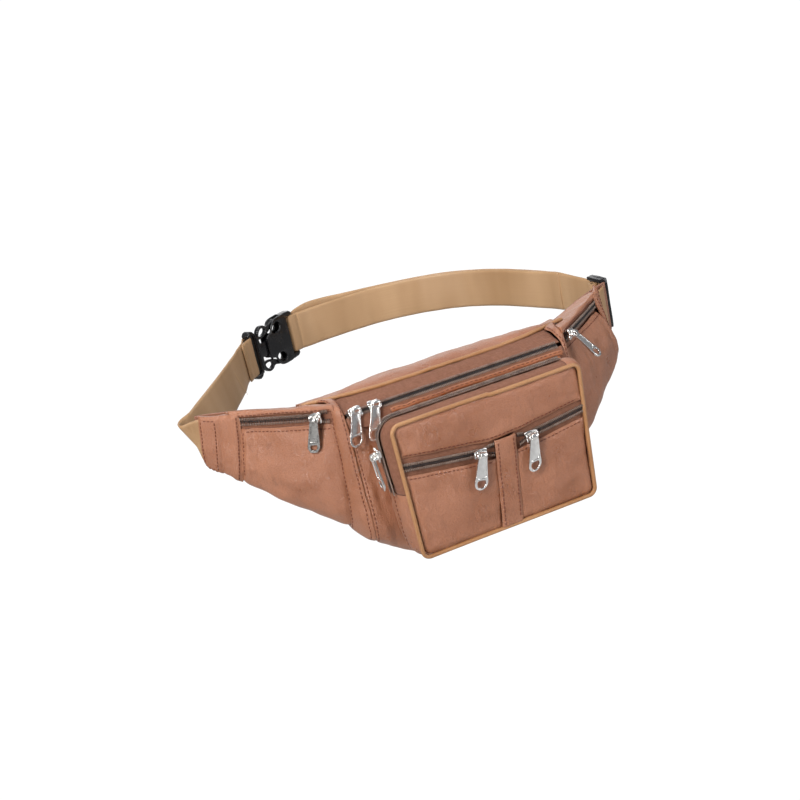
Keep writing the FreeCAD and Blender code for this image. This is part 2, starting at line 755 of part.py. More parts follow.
def pull_body(label, placement, lean, droop_angle):
    """Flat pull on a knuckle round the crown's bar, with a hole near its free end."""
    body = new_body(label)
    centre = "Dims.crown_top - Dims.crown_bar / 2"
    knuckle = [("circle", "0", centre, "Dims.knuckle_radius")]
    sketch = outline(body, "knuckle", "YZ_Plane", knuckle)
    pad(body, "roll", sketch, "2 * Dims.knuckle_half", midplane=True)

    def skew(half, down):
        return "%s + %s * (%s)" % (half, lean, down)

    long = "Dims.pull_long"
    end_half = "Dims.pull_wide / 2"
    neck_half = "Dims.pull_neck / 2"
    edge = [(neck_half, "0"), (neck_half, "Dims.pull_neck_end")]
    for degrees in (0, 30, 60):
        edge.append(("%s * cos(%d deg)" % (end_half, degrees),
                     "%s - %s * (1 - sin(%d deg))" % (long, end_half, degrees)))
    loop = [(skew(half, down), minus(down)) for half, down in edge]
    loop += [(skew(minus(half), down), minus(down)) for half, down in reversed(edge)]
    hole_down = "%s - %s" % (long, end_half)
    hole = ("circle", skew("0", hole_down), minus(hole_down), "Dims.pull_hole")
    face = "%s - Dims.pull_plate / 2" % centre
    sketch = outline(body, "blade", "XY_Plane", [loop, hole], face)
    pad(body, "plate", sketch, "Dims.pull_plate")
    window = []
    rim = "Dims.pull_rim"
    for sign in ("", "-"):
        side = []
        for half, down in (
                (neck_half + " - " + rim, "Dims.pull_neck_end"),
                (end_half + " - 0.6 - " + rim, long + " - %s - Dims.pull_hole - 1.2" % end_half)):
            side.append((skew(sign + "(%s)" % half, down), minus(down)))
        window.extend(side if not sign else side[::-1])
    sketch = outline(body, "panel", "XY_Plane", [window], face + " + Dims.pull_plate")
    cut(body, "recess", sketch, "Dims.pull_recess")
    bore = outline(body, "bore_outline", "YZ_Plane", [("circle", "0", centre, "Dims.bore_radius")])
    cut(body, "bore", bore)
    droop = Placement(Vector(0, 0, value(centre)), Rotation(Vector(1, 0, 0), droop_angle))
    back = Placement(Vector(0, 0, -value(centre)), Rotation())
    body.Placement = placement.multiply(droop).multiply(back)
    return body


def make_sliders():
    """Every slider: place on its chain, way along it, way out of the bag, lean and droop."""
    tilt = math.radians(value("Dims.main_zip_tilt"))
    out_main = (0, -math.sin(tilt), math.cos(tilt))
    turn = math.radians(wing_turn())
    wing_out = (-math.cos(turn), math.sin(turn), 0)
    wing_face = (-math.sin(turn), -math.cos(turn), 0)
    main = (value("Dims.main_zip_y"), value("Dims.main_zip_z"))
    root = (-value("Dims.flat_half"), value("Dims.root_front_y"))
    chain_lift = value("Dims.coil_thick / 2 - 0.8")
    wing_seat = []
    for distance in (value("Dims.left_wing_at"), value("Dims.right_wing_at")):
        wing_seat.append((root[0] + distance * wing_out[0] + chain_lift * wing_face[0],
                          root[1] + distance * wing_out[1] + chain_lift * wing_face[1]))
    wing_z = value("Dims.wing_zip_z")
    front_y = value("Dims.pocket_face_y + 1.3 - Dims.coil_thick / 2")
    left_way = (value("Dims.left_chain_outer_x - Dims.left_chain_inner_x"), 0,
                value("Dims.left_chain_outer_z - Dims.left_chain_inner_z"))
    right_way = (value("Dims.right_chain_outer_x - Dims.right_chain_inner_x"), 0,
                 value("Dims.right_chain_outer_z - Dims.right_chain_inner_z"))
    left_x = value("Dims.front_left_at")
    right_x = value("Dims.front_right_at")
    droop = value("Dims.pull_droop")
    main_droop = value("Dims.main_pull_droop")
    side_slope = value("Dims.chain_inset / (Dims.ridge_top - Dims.ridge_corner - Dims.gusset_chain_low)")
    side_z = value("Dims.side_slider_z")
    side_x = -value("Dims.ridge_half_top + Dims.gap + 0.2 + Dims.coil_thick / 2")
    side_x += side_slope * (value("Dims.ridge_top - Dims.ridge_corner") - side_z)
    seats = {
        "main_left": ((value("Dims.main_left_at"), *main), (-1, 0, 0), out_main, "Dims.main_left_lean", main_droop),
        "main_right": ((value("Dims.main_right_at"), *main), (1, 0, 0), out_main,
                       "Dims.main_right_lean", main_droop),
        "left_wing": ((*wing_seat[0], wing_z), wing_out, wing_face, "Dims.left_wing_lean", droop),
        "right_wing": ((-wing_seat[1][0], wing_seat[1][1], wing_z), (-wing_out[0], wing_out[1], 0),
                       (-wing_face[0], wing_face[1], 0), "Dims.right_wing_lean",
                       -value("Dims.raised_pull")),
        "pocket_side": ((side_x, value("Dims.gusset_chain_y"), side_z), (side_slope, 0, -1),
                        (-1, 0, 0), "0", droop),
        "front_left": ((left_x, front_y, value(chain_height("left", "Dims.front_left_at"))),
                       left_way, (0, -1, 0), "-0.1", droop),
        "front_right": ((right_x, front_y, value(chain_height("right", "Dims.front_right_at"))),
                        right_way, (0, -1, 0), "-0.25", droop),
    }
    for name, (origin, along, outward, lean, hang) in seats.items():
        seat = axis_placement(origin, along, outward)
        crown_role = "XZ_Plane"
        flip = seat.Rotation.multVec(Vector(0, 1, 0)).z < -0.1
        pull_seat = seat
        if flip:
            pull_seat = seat.multiply(Placement(Vector(), Rotation(Vector(0, 0, 1), 180)))
        if name == "pocket_side":
            pull_seat = seat.multiply(Placement(Vector(), Rotation(Vector(0, 0, 1), 90)))
            crown_role = "YZ_Plane"
        keep(slider_body(name + "_slider", seat, crown_role),
             pull_body(name + "_pull", pull_seat, lean, hang))


# ---------------------------------------------------------------- webbing belt
def smooth_run(points):
    """Evenly spaced places along a smooth curve through the points."""
    places = [Vector(x, y, 0) for x, y in points]
    spine = Part.BSplineCurve()
    spine.interpolate(Points=places, InitialTangent=(places[1] - places[0]).normalize(),
                      FinalTangent=(places[-1] - places[-2]).normalize())
    return [(place.x, place.y) for place in spine.discretize(Number=int(value("Dims.belt_bends")))]


def side_line(points, offset):
    """Corners of a plan path moved sideways and mitred."""
    corners = []
    last = len(points) - 1
    for index, (x, y) in enumerate(points):
        before = unit(points[max(index - 1, 0)], points[max(index, 1)])
        after = before if index == last else unit(points[index], points[index + 1])
        across = (-before[1] - after[1], before[0] + after[0])
        spread = offset * 2 / (across[0] ** 2 + across[1] ** 2)
        corners.append(Vector(x + across[0] * spread, y + across[1] * spread, 0))
    return corners


def strap(label, points, shift=0.0):
    """Webbing standing on edge along a plan path."""
    half = value("Dims.web_thick / 2")
    rim = side_line(points, shift + half) + side_line(points, shift - half)[::-1]
    face = Part.Face(Part.makePolygon(rim + rim[:1]))
    feature = doc.addObject("Part::Feature", label)
    feature.Label = label
    feature.Shape = face.extrude(Vector(0, 0, value("Dims.web_wide")))
    feature.Placement = Placement(Vector(0, 0, value("Dims.web_z - Dims.web_wide / 2")), Rotation())
    return feature


def unit(start, end):
    length = math.hypot(end[0] - start[0], end[1] - start[1])
    return ((end[0] - start[0]) / length, (end[1] - start[1]) / length)


def moved(point, direction, along, sideways=0.0):
    return (point[0] + direction[0] * along - direction[1] * sideways,
            point[1] + direction[1] * along + direction[0] * sideways)


def buckle_place(along, sideways=0.0):
    turn = math.radians(value("Dims.buckle_turn"))
    return (value("Dims.buckle_x") + along * math.cos(turn) - sideways * math.sin(turn),
            value("Dims.buckle_y") + along * math.sin(turn) + sideways * math.cos(turn))


def web_loop(label, centre, direction):
    """Webbing turned round a bar and sewn to itself in a short neck."""
    body = new_body(label)
    inner = "Dims.web_loop_inner"
    outer = inner + " + Dims.web_thick"
    sketch = outline(body, "ring", "XY_Plane", [("circle", "0", "0", outer)])
    pad(body, "roll", sketch, "Dims.web_wide", midplane=True)
    reach = "%s + Dims.neck_long" % outer
    half = "Dims.layer_step / 2 + Dims.web_thick / 2"
    neck = [("0", half), (reach, half), (reach, minus(half)), ("0", minus(half))]
    pad(body, "neck", outline(body, "neck_plan", "XY_Plane", [neck]), "Dims.web_wide", midplane=True)
    cut(body, "eye", outline(body, "eye_plan", "XY_Plane", [("circle", "0", "0", inner)]))
    angle = math.degrees(math.atan2(direction[1], direction[0]))
    place = Vector(centre[0], centre[1], value("Dims.web_z"))
    body.Placement = Placement(place, Rotation(Vector(0, 0, 1), angle))
    return body


# plan of the worn loop, from the right tip round to the buckle and on to the left tip
TIP_SEAM = (170.0, 30.2)
BELT_ROOT = (184.0, 41.4)
BELT_TURN = (177.4, 113.0)
BELT_ARC = [BELT_TURN, (166, 147), (150, 182), (123, 216), (94, 237), (54, 250), (12, 253.5)]
BELT_BUCKLE_RUN = (-14, 252.5)
LEFT_FOLD = (-188.0, 42.4)
LEFT_SEAM = (-170.0, 28.9)


def make_belt():
    loop_reach = value("Dims.web_loop_inner + Dims.web_thick + Dims.neck_long + Dims.gap")
    male_bar = buckle_place(value("Dims.bar_thick / 2"))
    female_bar = buckle_place(value("Dims.buckle_long - Dims.bar_thick / 2"))
    strap_way = unit(male_bar, LEFT_FOLD)
    left = strap("left_strap", [LEFT_SEAM, LEFT_FOLD, moved(male_bar, strap_way, loop_reach)])
    left_loop = web_loop("left_strap_loop", male_bar, strap_way)
    belt_way = unit(female_bar, BELT_BUCKLE_RUN)
    start = moved(female_bar, belt_way, loop_reach)
    arc = smooth_run(BELT_ARC + [start])
    step = value("Dims.layer_step / 2")
    outer = strap("belt_outer_layer", [TIP_SEAM, BELT_ROOT] + arc, -step)
    inner = strap("belt_inner_layer", arc, step)
    belt_loop = web_loop("belt_buckle_loop", female_bar, belt_way)
    return left, left_loop, outer, inner, belt_loop


# ---------------------------------------------------------------- buckle
def buckle_seat():
    turn = Rotation(Vector(0, 0, 1), value("Dims.buckle_turn"))
    stand = Rotation(Vector(1, 0, 0), 90)
    return Placement(Vector(value("Dims.buckle_x"), value("Dims.buckle_y"), value("Dims.web_z")),
                     turn.multiply(stand))


def flat_body(label, loops, thick):
    body = new_body(label)
    pad(body, "block", outline(body, "plan", "XY_Plane", loops), thick, midplane=True)
    return body


def long_way(points):
    """Outline symmetric about the local X axis, given for its upper half."""
    return points + [(across, minus(up)) for across, up in reversed(points)]


def thin_bar(body, start, end):
    """Leaves a slim bar for the webbing between the two side rails."""
    half = "Dims.bar_thick / 2"
    blocks = []
    for sign in ("", "-"):
        blocks.append([(start, sign + half), (end, sign + half),
                       (end, sign + "Dims.buckle_thick"), (start, sign + "Dims.buckle_thick")])
    sketch = outline(body, "bar_plan", "XZ_Plane", blocks)
    cut(body, "bar", sketch, "2 * Dims.slot_half", midplane=True)


def make_male():
    base = "Dims.male_base"
    plan = long_way([
        ("0", "Dims.buckle_half - 4"), ("1.5", "Dims.buckle_half - 1"), ("5", "Dims.buckle_half"),
        ("9", "Dims.buckle_half - 1"), (base + " - 2", "Dims.buckle_half - 6"),
        (base, "Dims.tongue_half + 4")])
    slot = long_way([("Dims.bar_thick", "Dims.slot_half"),
                     ("Dims.bar_thick + Dims.slot_long", "Dims.slot_half")])
    body = flat_body("buckle_male", [plan, slot], "Dims.buckle_thick - 1")
    round_edges(body, "soften", "0.8", lambda edge: outer_rim(edge, 4.0, 5.5))
    thin_bar(body, "-1", "Dims.bar_thick + 0.5")
    tongue = long_way([
        (base + " - 1", "Dims.tongue_half"), ("Dims.tongue_end - 3", "Dims.tongue_half"),
        ("Dims.tongue_end", "Dims.tongue_half - 3")])
    pad(body, "tongue", outline(body, "tongue_plan", "XY_Plane", [tongue]),
        "Dims.tongue_thick", midplane=True)
    body.Placement = buckle_seat()
    return body


def outer_rim(edge, height, longer_than):
    middle = edge.CenterOfMass
    return abs(abs(middle.z) - height) < 0.7 and edge.Length > longer_than


def make_female():
    mouth = "Dims.mouth_x"
    end = "Dims.buckle_long"
    plan = long_way([
        (mouth, "11"), (mouth + " + 5", "12"), (mouth + " + 9", "18"),
        (mouth + " + 15", "Dims.buckle_half - 1"), (end + " - 12", "Dims.buckle_half"),
        (end + " - 2", "Dims.buckle_half - 1"), (end, "Dims.buckle_half - 4")])
    slot = long_way([(end + " - Dims.bar_thick - Dims.slot_long", "Dims.slot_half"),
                     (end + " - Dims.bar_thick", "Dims.slot_half")])
    body = flat_body("buckle_female", [plan, slot], "Dims.buckle_thick")
    thin_bar(body, end + " - Dims.bar_thick - 0.5", end + " + 1")
    cavity = long_way([
        (mouth + " - 1", "Dims.buckle_half + 2"), ("Dims.cavity_end - 3", "Dims.buckle_half + 2"),
        ("Dims.cavity_end - 3", "Dims.tongue_half + 3"), ("Dims.cavity_end", "Dims.tongue_half + 3")])
    sketch = outline(body, "cavity_plan", "XY_Plane", [cavity], "-Dims.cavity_high / 2")
    cut(body, "cavity", sketch, "Dims.cavity_high", backward=True)
    windows = []
    for sign in ("", "-"):
        windows.append([
            (mouth + " + 10", sign + "12.5"), (mouth + " + 13", sign + "16.5"),
            (mouth + " + 19", sign + "18"), (mouth + " + 21", sign + "15"),
            (mouth + " + 18", sign + "11.5"), (mouth + " + 13", sign + "10.5")])
    cut(body, "windows", outline(body, "window_plan", "XY_Plane", windows))
    body.Placement = buckle_seat()
    return body


def make_arm(label, sign):
    """Springy side arm with an oval eye; its button end fills the female part's side."""
    base = "Dims.male_base"
    outer = [(base + " + 0.5", "14"), (base + " + 2", "18"), (base + " + 6", "21"),
             (base + " + 11", "21"), (base + " + 15", "18.5"), (base + " + 20", "20"),
             (base + " + 26", "22"), (base + " + 29", "20")]
    inner = [(base + " + 29", "17"), (base + " + 22", "16"), (base + " + 15", "13.2"),
             (base + " + 9", "13"), (base + " + 4", "12"), (base + " + 0.5", "11.6")]
    eye = [(base + " + 4", "15"), (base + " + 6.5", "18.4"), (base + " + 10", "18.6"),
           (base + " + 12", "17"), (base + " + 10.5", "15.2"), (base + " + 7", "14.4")]
    loops = []
    for loop in (outer + inner, eye):
        loops.append([(across, sign + "(%s)" % up) for across, up in loop])
    body = flat_body(label, loops, "Dims.arm_thick")
    body.Placement = buckle_seat()
    return body


# ---------------------------------------------------------------- tri-glide adjuster
def adjuster_frame():
    """Where the adjuster sits on the straight run near the right tip: local X along the belt."""
    way = unit(BELT_ROOT, BELT_TURN)
    place = moved(BELT_ROOT, way, value("Dims.adjuster_seat"), -value("Dims.layer_step / 2"))
    return axis_placement((place[0], place[1], value("Dims.web_z")), (way[0], way[1], 0),
                          (way[1], -way[0], 0))


def make_adjuster():
    half_long = "Dims.adjuster_long / 2"
    half_high = "Dims.adjuster_high / 2"
    rail = "Dims.adjuster_rail"
    body = new_body("strap_adjuster")
    rails = []
    for sign in ("", "-"):
        rails.append([
            (minus(half_long), sign + "(%s)" % half_high), (half_long, sign + "(%s)" % half_high),
            (half_long, sign + "(%s - %s)" % (half_high, rail)),
            (minus(half_long), sign + "(%s - %s)" % (half_high, rail))])
    depth = "Dims.adjuster_out + Dims.adjuster_in"
    sketch = outline(body, "rails", "XY_Plane", rails, "-Dims.adjuster_in")
    pad_rails = pad(body, "rail", sketch, depth)
    bars = []
    for sign in ("", "-"):
        bars.append([
            (sign + "(%s)" % half_long, minus(half_high)), (sign + "(%s)" % half_long, half_high),
            (sign + "(%s - Dims.adjuster_bar)" % half_long, half_high),
            (sign + "(%s - Dims.adjuster_bar)" % half_long, minus(half_high))])
    sketch = outline(body, "outer_bars", "XY_Plane", bars, "Dims.adjuster_out - Dims.adjuster_bar_thick")
    pad(body, "outer", sketch, "Dims.adjuster_bar_thick")
    centre = [[("-Dims.adjuster_bar / 2", minus(half_high)), ("Dims.adjuster_bar / 2", minus(half_high)),
               ("Dims.adjuster_bar / 2", half_high), ("-Dims.adjuster_bar / 2", half_high)]]
    sketch = outline(body, "centre_bar", "XY_Plane", centre, "-Dims.adjuster_in + Dims.adjuster_bar_thick")
    pad(body, "centre", sketch, "Dims.adjuster_centre_thick")
    body.Placement = adjuster_frame()
    return body


def make_adjuster_loop():
    """End of the belt's returning layer, sewn round the adjuster's centre bar."""
    body = new_body("adjuster_web_loop")
    height = "-Dims.adjuster_in + Dims.adjuster_bar_thick + Dims.adjuster_centre_thick / 2"
    outer = "Dims.web_loop_inner + 0.8"
    sketch = outline(body, "ring", "XZ_Plane", [("circle", "0", height, outer)])
    pad(body, "roll", sketch, "Dims.web_wide", midplane=True)
    eye = outline(body, "eye_plan", "XZ_Plane", [("circle", "0", height, "Dims.web_loop_inner - 0.6")])
    cut(body, "eye", eye)
    body.Placement = adjuster_frame()
    return body


# ---------------------------------------------------------------- assembly
keep(make_back_panel(), make_front_panel(), make_top_gusset(), make_main_piping(), *make_main_zip())
left_parts = [make_band(), make_wing_panel(), make_wing_top(), *make_wing_plates(), make_tab()]
keep(*left_parts)
for piece in left_parts:
    keep(mirror_right(piece, piece.Label.replace("left", "right")))
keep(make_pocket_piping(), *make_gussets(), make_gusset_coil(), *make_front_panels())
keep(*make_front_zip("left"), *make_front_zip("right"))
make_sliders()
keep(*make_belt())
keep(make_male(), make_female(), make_arm("buckle_arm_upper", ""), make_arm("buckle_arm_lower", "-"))
keep(make_adjuster(), make_adjuster_loop())
doc.recompute()

for item in doc.Objects:
    if "Invalid" in item.State or "Error" in item.State:
        raise ValueError("%s does not compute" % item.Label)
for item in finished:
    shape = item.Shape
    if shape.isNull() or not shape.isValid() or shape.Volume <= 0:
        raise ValueError("%s has no valid solid" % item.Label)
    shape.exportStep("parts/%s.step" % item.Label)
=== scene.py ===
import json
import math

import bmesh
import bpy
from mathutils import Matrix, Vector, noise


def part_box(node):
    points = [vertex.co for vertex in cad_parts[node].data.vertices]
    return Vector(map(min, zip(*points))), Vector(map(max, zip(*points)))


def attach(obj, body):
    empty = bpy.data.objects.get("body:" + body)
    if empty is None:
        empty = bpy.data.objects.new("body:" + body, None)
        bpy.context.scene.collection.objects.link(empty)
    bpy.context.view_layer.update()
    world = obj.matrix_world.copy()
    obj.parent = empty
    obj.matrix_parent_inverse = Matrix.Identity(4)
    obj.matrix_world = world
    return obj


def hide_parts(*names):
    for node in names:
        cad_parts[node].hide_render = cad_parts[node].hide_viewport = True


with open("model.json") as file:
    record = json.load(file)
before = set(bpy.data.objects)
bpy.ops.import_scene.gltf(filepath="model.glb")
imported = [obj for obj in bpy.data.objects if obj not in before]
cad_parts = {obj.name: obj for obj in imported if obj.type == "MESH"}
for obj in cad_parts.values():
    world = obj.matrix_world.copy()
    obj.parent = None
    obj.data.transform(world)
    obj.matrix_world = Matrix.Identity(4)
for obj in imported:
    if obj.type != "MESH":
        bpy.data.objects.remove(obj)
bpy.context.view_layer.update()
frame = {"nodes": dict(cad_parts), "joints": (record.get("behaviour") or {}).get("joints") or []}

# Waist pack. Lengths in millimetres until a mesh is written, then metres.
# X to the bag's right seen from the front, Y toward the wearer, Z up.
MM = 0.001
PACK = "pack"
ROOT_X, TIP_X = 95, 182              # where a wing starts, and its tip
ROOT_Y, TIP_Y = -42.2, 34.5          # the same places on the wing's front plane
STRAP_Z = 29                         # the belt's mid height
BUCKLE_AT, BUCKLE_TURN, BUCKLE_LONG = (-96, 211), 34.2, 66
PULL_LONG = 26.5
BAR_IN = 1.8                         # from the buckle's end to its bar


# ---------------------------------------------------------------- camera, light, stage
def make_camera():
    azimuth, elevation, roll = math.radians(-17.997), math.radians(20.0), math.radians(12.475)
    distance, focal = 951.863, 1257.178
    target = Vector((-41.155, -30.0, 34.063))
    back = Vector((math.sin(azimuth) * math.cos(elevation),
                   -math.cos(azimuth) * math.cos(elevation), math.sin(elevation)))
    right = Vector((math.cos(azimuth), math.sin(azimuth), 0))
    up = back.cross(right)
    x_axis = right * math.cos(roll) - up * math.sin(roll)
    y_axis = right * math.sin(roll) + up * math.cos(roll)
    camera = bpy.data.objects.new("camera", bpy.data.cameras.new("camera"))
    bpy.context.collection.objects.link(camera)
    turn = Matrix((x_axis, y_axis, back)).transposed().to_4x4()
    camera.matrix_world = Matrix.Translation((target + back * distance) * MM) @ turn
    camera.data.sensor_width = 36.0
    camera.data.lens = 36.0 * focal / 800
    camera.data.clip_start, camera.data.clip_end = 0.01, 200
    bpy.context.scene.camera = camera


def area_light(name, place, aim, size, power, tint=(1, 1, 1)):
    lamp = bpy.data.lights.new(name, "AREA")
    lamp.shape = "DISK"
    lamp.size, lamp.energy, lamp.color = size, power, tint
    holder = bpy.data.objects.new(name, lamp)
    bpy.context.collection.objects.link(holder)
    holder.location = place
    holder.rotation_mode = "QUATERNION"
    holder.rotation_quaternion = (Vector(place) - Vector(aim)).to_track_quat("Z", "Y")


def make_studio():
    """White surroundings for the eye, a softer room for the light, and a pale floor far below."""
    world = bpy.data.worlds.new("room")
    bpy.context.scene.world = world
    world.use_nodes = True
    nodes, links = world.node_tree.nodes, world.node_tree.links
    nodes.clear()
    out, blend, path, room, white, coordinates, split, ramp, lift = [
        nodes.new("ShaderNode" + kind) for kind in ("OutputWorld", "MixShader", "LightPath", "Background",
                                                    "Background", "TexCoord", "SeparateXYZ", "ValToRGB", "Math")]
    lift.operation = "MULTIPLY_ADD"
    lift.inputs[1].default_value = 0.5
    lift.inputs[2].default_value = 0.5
    links.new(coordinates.outputs["Generated"], split.inputs[0])
    links.new(split.outputs["Z"], lift.inputs[0])
    links.new(lift.outputs[0], ramp.inputs[0])
    ramp.color_ramp.elements[0].position = 0.30
    ramp.color_ramp.elements[0].color = (0.30, 0.295, 0.29, 1)
    ramp.color_ramp.elements[1].position = 0.85
    ramp.color_ramp.elements[1].color = (0.34, 0.345, 0.36, 1)
    middle = ramp.color_ramp.elements.new(0.52)
    middle.color = (0.14, 0.14, 0.145, 1)
    links.new(ramp.outputs[0], room.inputs[0])
    white.inputs[0].default_value = (1, 1, 1, 1)
    white.inputs[1].default_value = 1.05
    links.new(path.outputs["Is Camera Ray"], blend.inputs[0])
    links.new(room.outputs[0], blend.inputs[1])
    links.new(white.outputs[0], blend.inputs[2])
    links.new(blend.outputs[0], out.inputs[0])
    area_light("key", (-1.15, -1.05, 1.35), (-0.05, -0.03, 0.0), 0.75, 33, (1.0, 0.985, 0.965))
    area_light("side", (-1.45, -0.95, 0.42), (-0.12, 0.0, 0.0), 0.6, 13, (1.0, 0.99, 0.98))
    area_light("fill", (1.25, -1.15, 0.40), (0.05, 0.0, 0.0), 1.2, 15, (0.97, 0.98, 1.0))
    area_light("top", (0.0, 0.35, 1.35), (0.0, 0.05, 0.0), 0.9, 9)
    area_light("rear", (0.5, 1.8, 0.35), (0.0, 0.1, 0.0), 1.2, 6)
    bpy.ops.mesh.primitive_plane_add(size=60, location=(0, 0, -0.55))
    floor = bpy.context.object
    floor.name = "floor"
    pale = bpy.data.materials.new("floor")
    pale.use_nodes = True
    nodes, links = pale.node_tree.nodes, pale.node_tree.links
    nodes.clear()
    out, blend, path, lit, glow = [nodes.new("ShaderNode" + kind) for kind in (
        "OutputMaterial", "MixShader", "LightPath", "BsdfDiffuse", "Emission")]
    lit.inputs[0].default_value = (0.45, 0.45, 0.45, 1)
    glow.inputs[1].default_value = 1.05
    links.new(path.outputs["Is Camera Ray"], blend.inputs[0])
    links.new(lit.outputs[0], blend.inputs[1])
    links.new(glow.outputs[0], blend.inputs[2])
    links.new(blend.outputs[0], out.inputs[0])
    floor.data.materials.append(pale)
    bpy.context.scene.view_settings.view_transform = "Standard"


make_camera()
make_studio()


# ---------------------------------------------------------------- materials
class Paint:
    """Short names for building one node material."""

    def __init__(self, name, **fixed):
        self.material = bpy.data.materials.new(name)
        self.material.use_nodes = True
        self.tree = self.material.node_tree
        self.shader = self.tree.nodes["Principled BSDF"]
        for socket, value in fixed.items():
            self.shader.inputs[socket.replace("_", " ")].default_value = value
        self.height = None

    def link(self, source, target):
        self.tree.links.new(source, target)
        return target

    def node(self, kind, **settings):
        made = self.tree.nodes.new("ShaderNode" + kind)
        for name, value in settings.items():
            setattr(made, name, value)
        return made

    def feed(self, socket, value):
        if hasattr(value, "links"):
            self.link(value, socket)
        else:
            socket.default_value = value

    def place(self):
        return self.node("TexCoord").outputs["Object"]

    def flow(self):
        """Distance along and across the strip, in metres, that strips carry as an attribute."""
        return self.node("Attribute", attribute_name="flow").outputs["Vector"]

    def scaled(self, vector, scale):
        mapping = self.node("Mapping")
        self.link(vector, mapping.inputs["Vector"])
        mapping.inputs["Scale"].default_value = scale
        return mapping.outputs["Vector"]

    def noise(self, vector, scale, detail=3.0, rough=0.55):
        made = self.node("TexNoise")
        self.link(vector, made.inputs["Vector"])
        made.inputs["Scale"].default_value = scale
        made.inputs["Detail"].default_value = detail
        made.inputs["Roughness"].default_value = rough
        return made.outputs["Fac"]

    def cells(self, vector, scale, feature="DISTANCE_TO_EDGE", output="Distance"):
        made = self.node("TexVoronoi", feature=feature)
        self.link(vector, made.inputs["Vector"])
        made.inputs["Scale"].default_value = scale
        return made.outputs[output]

    def math(self, operation, *values):
        made = self.node("Math", operation=operation)
        for socket, value in zip(made.inputs, values):
            self.feed(socket, value)
        return made.outputs[0]

    def span(self, value, low, high, to_low=0.0, to_high=1.0):
        made = self.node("MapRange")
        self.feed(made.inputs["Value"], value)
        for name, number in (("From Min", low), ("From Max", high), ("To Min", to_low),
                             ("To Max", to_high)):
            made.inputs[name].default_value = number
        return made.outputs["Result"]

    def mix(self, share, first, second):
        made = self.node("Mix", data_type="RGBA")
        self.feed(made.inputs["Factor"], share)
        self.feed(made.inputs[6], first)
        self.feed(made.inputs[7], second)
        return made.outputs[2]

    def bump(self, height, depth, strength=1.0):
        made = self.node("Bump")
        made.inputs["Strength"].default_value = strength
        made.inputs["Distance"].default_value = depth
        self.link(height, made.inputs["Height"])
        if self.height is not None:
            self.link(self.height, made.inputs["Normal"])
        self.height = made.outputs["Normal"]
        self.link(self.height, self.shader.inputs["Normal"])

    def colour(self, value):
        self.link(value, self.shader.inputs["Base Color"])

    def rough(self, value):
        self.link(value, self.shader.inputs["Roughness"])


def rgb(red, green, blue):
    return (red, green, blue, 1.0)


# crease is the dark colour of the grain lines and of the painted shade in the folds.
def leather(name, pale, deep, crease, gloss=(0.27, 0.46), grain=1.0):
    paint = Paint(name, IOR=1.6, Sheen_Weight=0.04, Sheen_Roughness=0.4)
    at = paint.place()
    patches = paint.noise(at, 16, 2.5)
    clouds = paint.noise(at, 62, 4.0)
    base = paint.mix(paint.span(patches, 0.34, 0.68), deep, pale)
    tint = paint.mix(paint.span(clouds, 0.40, 0.72, 0.0, 0.45), base, pale)
    pores = paint.cells(at, 950)
    tint = paint.mix(paint.span(pores, 0.0, 0.16, 0.34, 0.0), tint, crease)
    # Painted crease shade: where the fold noise rises, the colour darkens toward the crease colour by up to
    # 0.40; the same noise also drives a bump.
    folds = paint.noise(paint.scaled(at, (1, 1, 0.45)), 120, 5.0, 0.62)
    tint = paint.mix(paint.span(folds, 0.60, 0.76, 0.0, 0.40), tint, crease)
    paint.colour(tint)
    paint.rough(paint.span(paint.math("ADD", clouds, patches), 0.75, 1.3, gloss[0], gloss[1]))
    creases = paint.cells(paint.scaled(at, (1, 1, 0.6)), 130)
    paint.bump(paint.span(creases, 0.0, 0.3), 0.0006 * grain, 0.20)
    paint.bump(folds, 0.0018 * grain, 0.50)
    paint.bump(paint.span(pores, 0.0, 0.22), 0.00026 * grain, 0.65)
    paint.bump(paint.noise(at, 2400, 2.0), 0.00006, 0.5)
    return paint.material


def tape(name, pale, deep):
    """Woven zip tape: fine slanting ribs that change way every few yarns."""
    paint = Paint(name, IOR=1.4, Sheen_Weight=0.05, Sheen_Roughness=0.5)
    split = paint.node("SeparateXYZ")
    paint.link(paint.flow(), split.inputs[0])
    along, across = split.outputs["X"], split.outputs["Y"]
    zigzag = paint.math("PINGPONG", across, 0.0013)
    slant = paint.math("ADD", along, paint.math("MULTIPLY", zigzag, 1.0))
    ribs = paint.math("SINE", paint.math("MULTIPLY", slant, 2 * math.pi / 0.00105))
    yarn = paint.math("SINE", paint.math("MULTIPLY", across, 2 * math.pi / 0.0013))
    height = paint.math("ADD", paint.math("MULTIPLY", ribs, 0.35), paint.math("MULTIPLY", yarn, 0.15))
    height = paint.math("ADD", height, 0.5)
    dust = paint.noise(paint.place(), 380, 3.0)
    base = paint.mix(paint.span(height, 0.1, 0.95), deep, pale)
    paint.colour(paint.mix(paint.span(dust, 0.3, 0.75, 0.0, 0.5), base, deep))
    paint.rough(paint.span(dust, 0.3, 0.7, 0.62, 0.8))
    paint.bump(height, 0.00028, 0.8)
    return paint.material


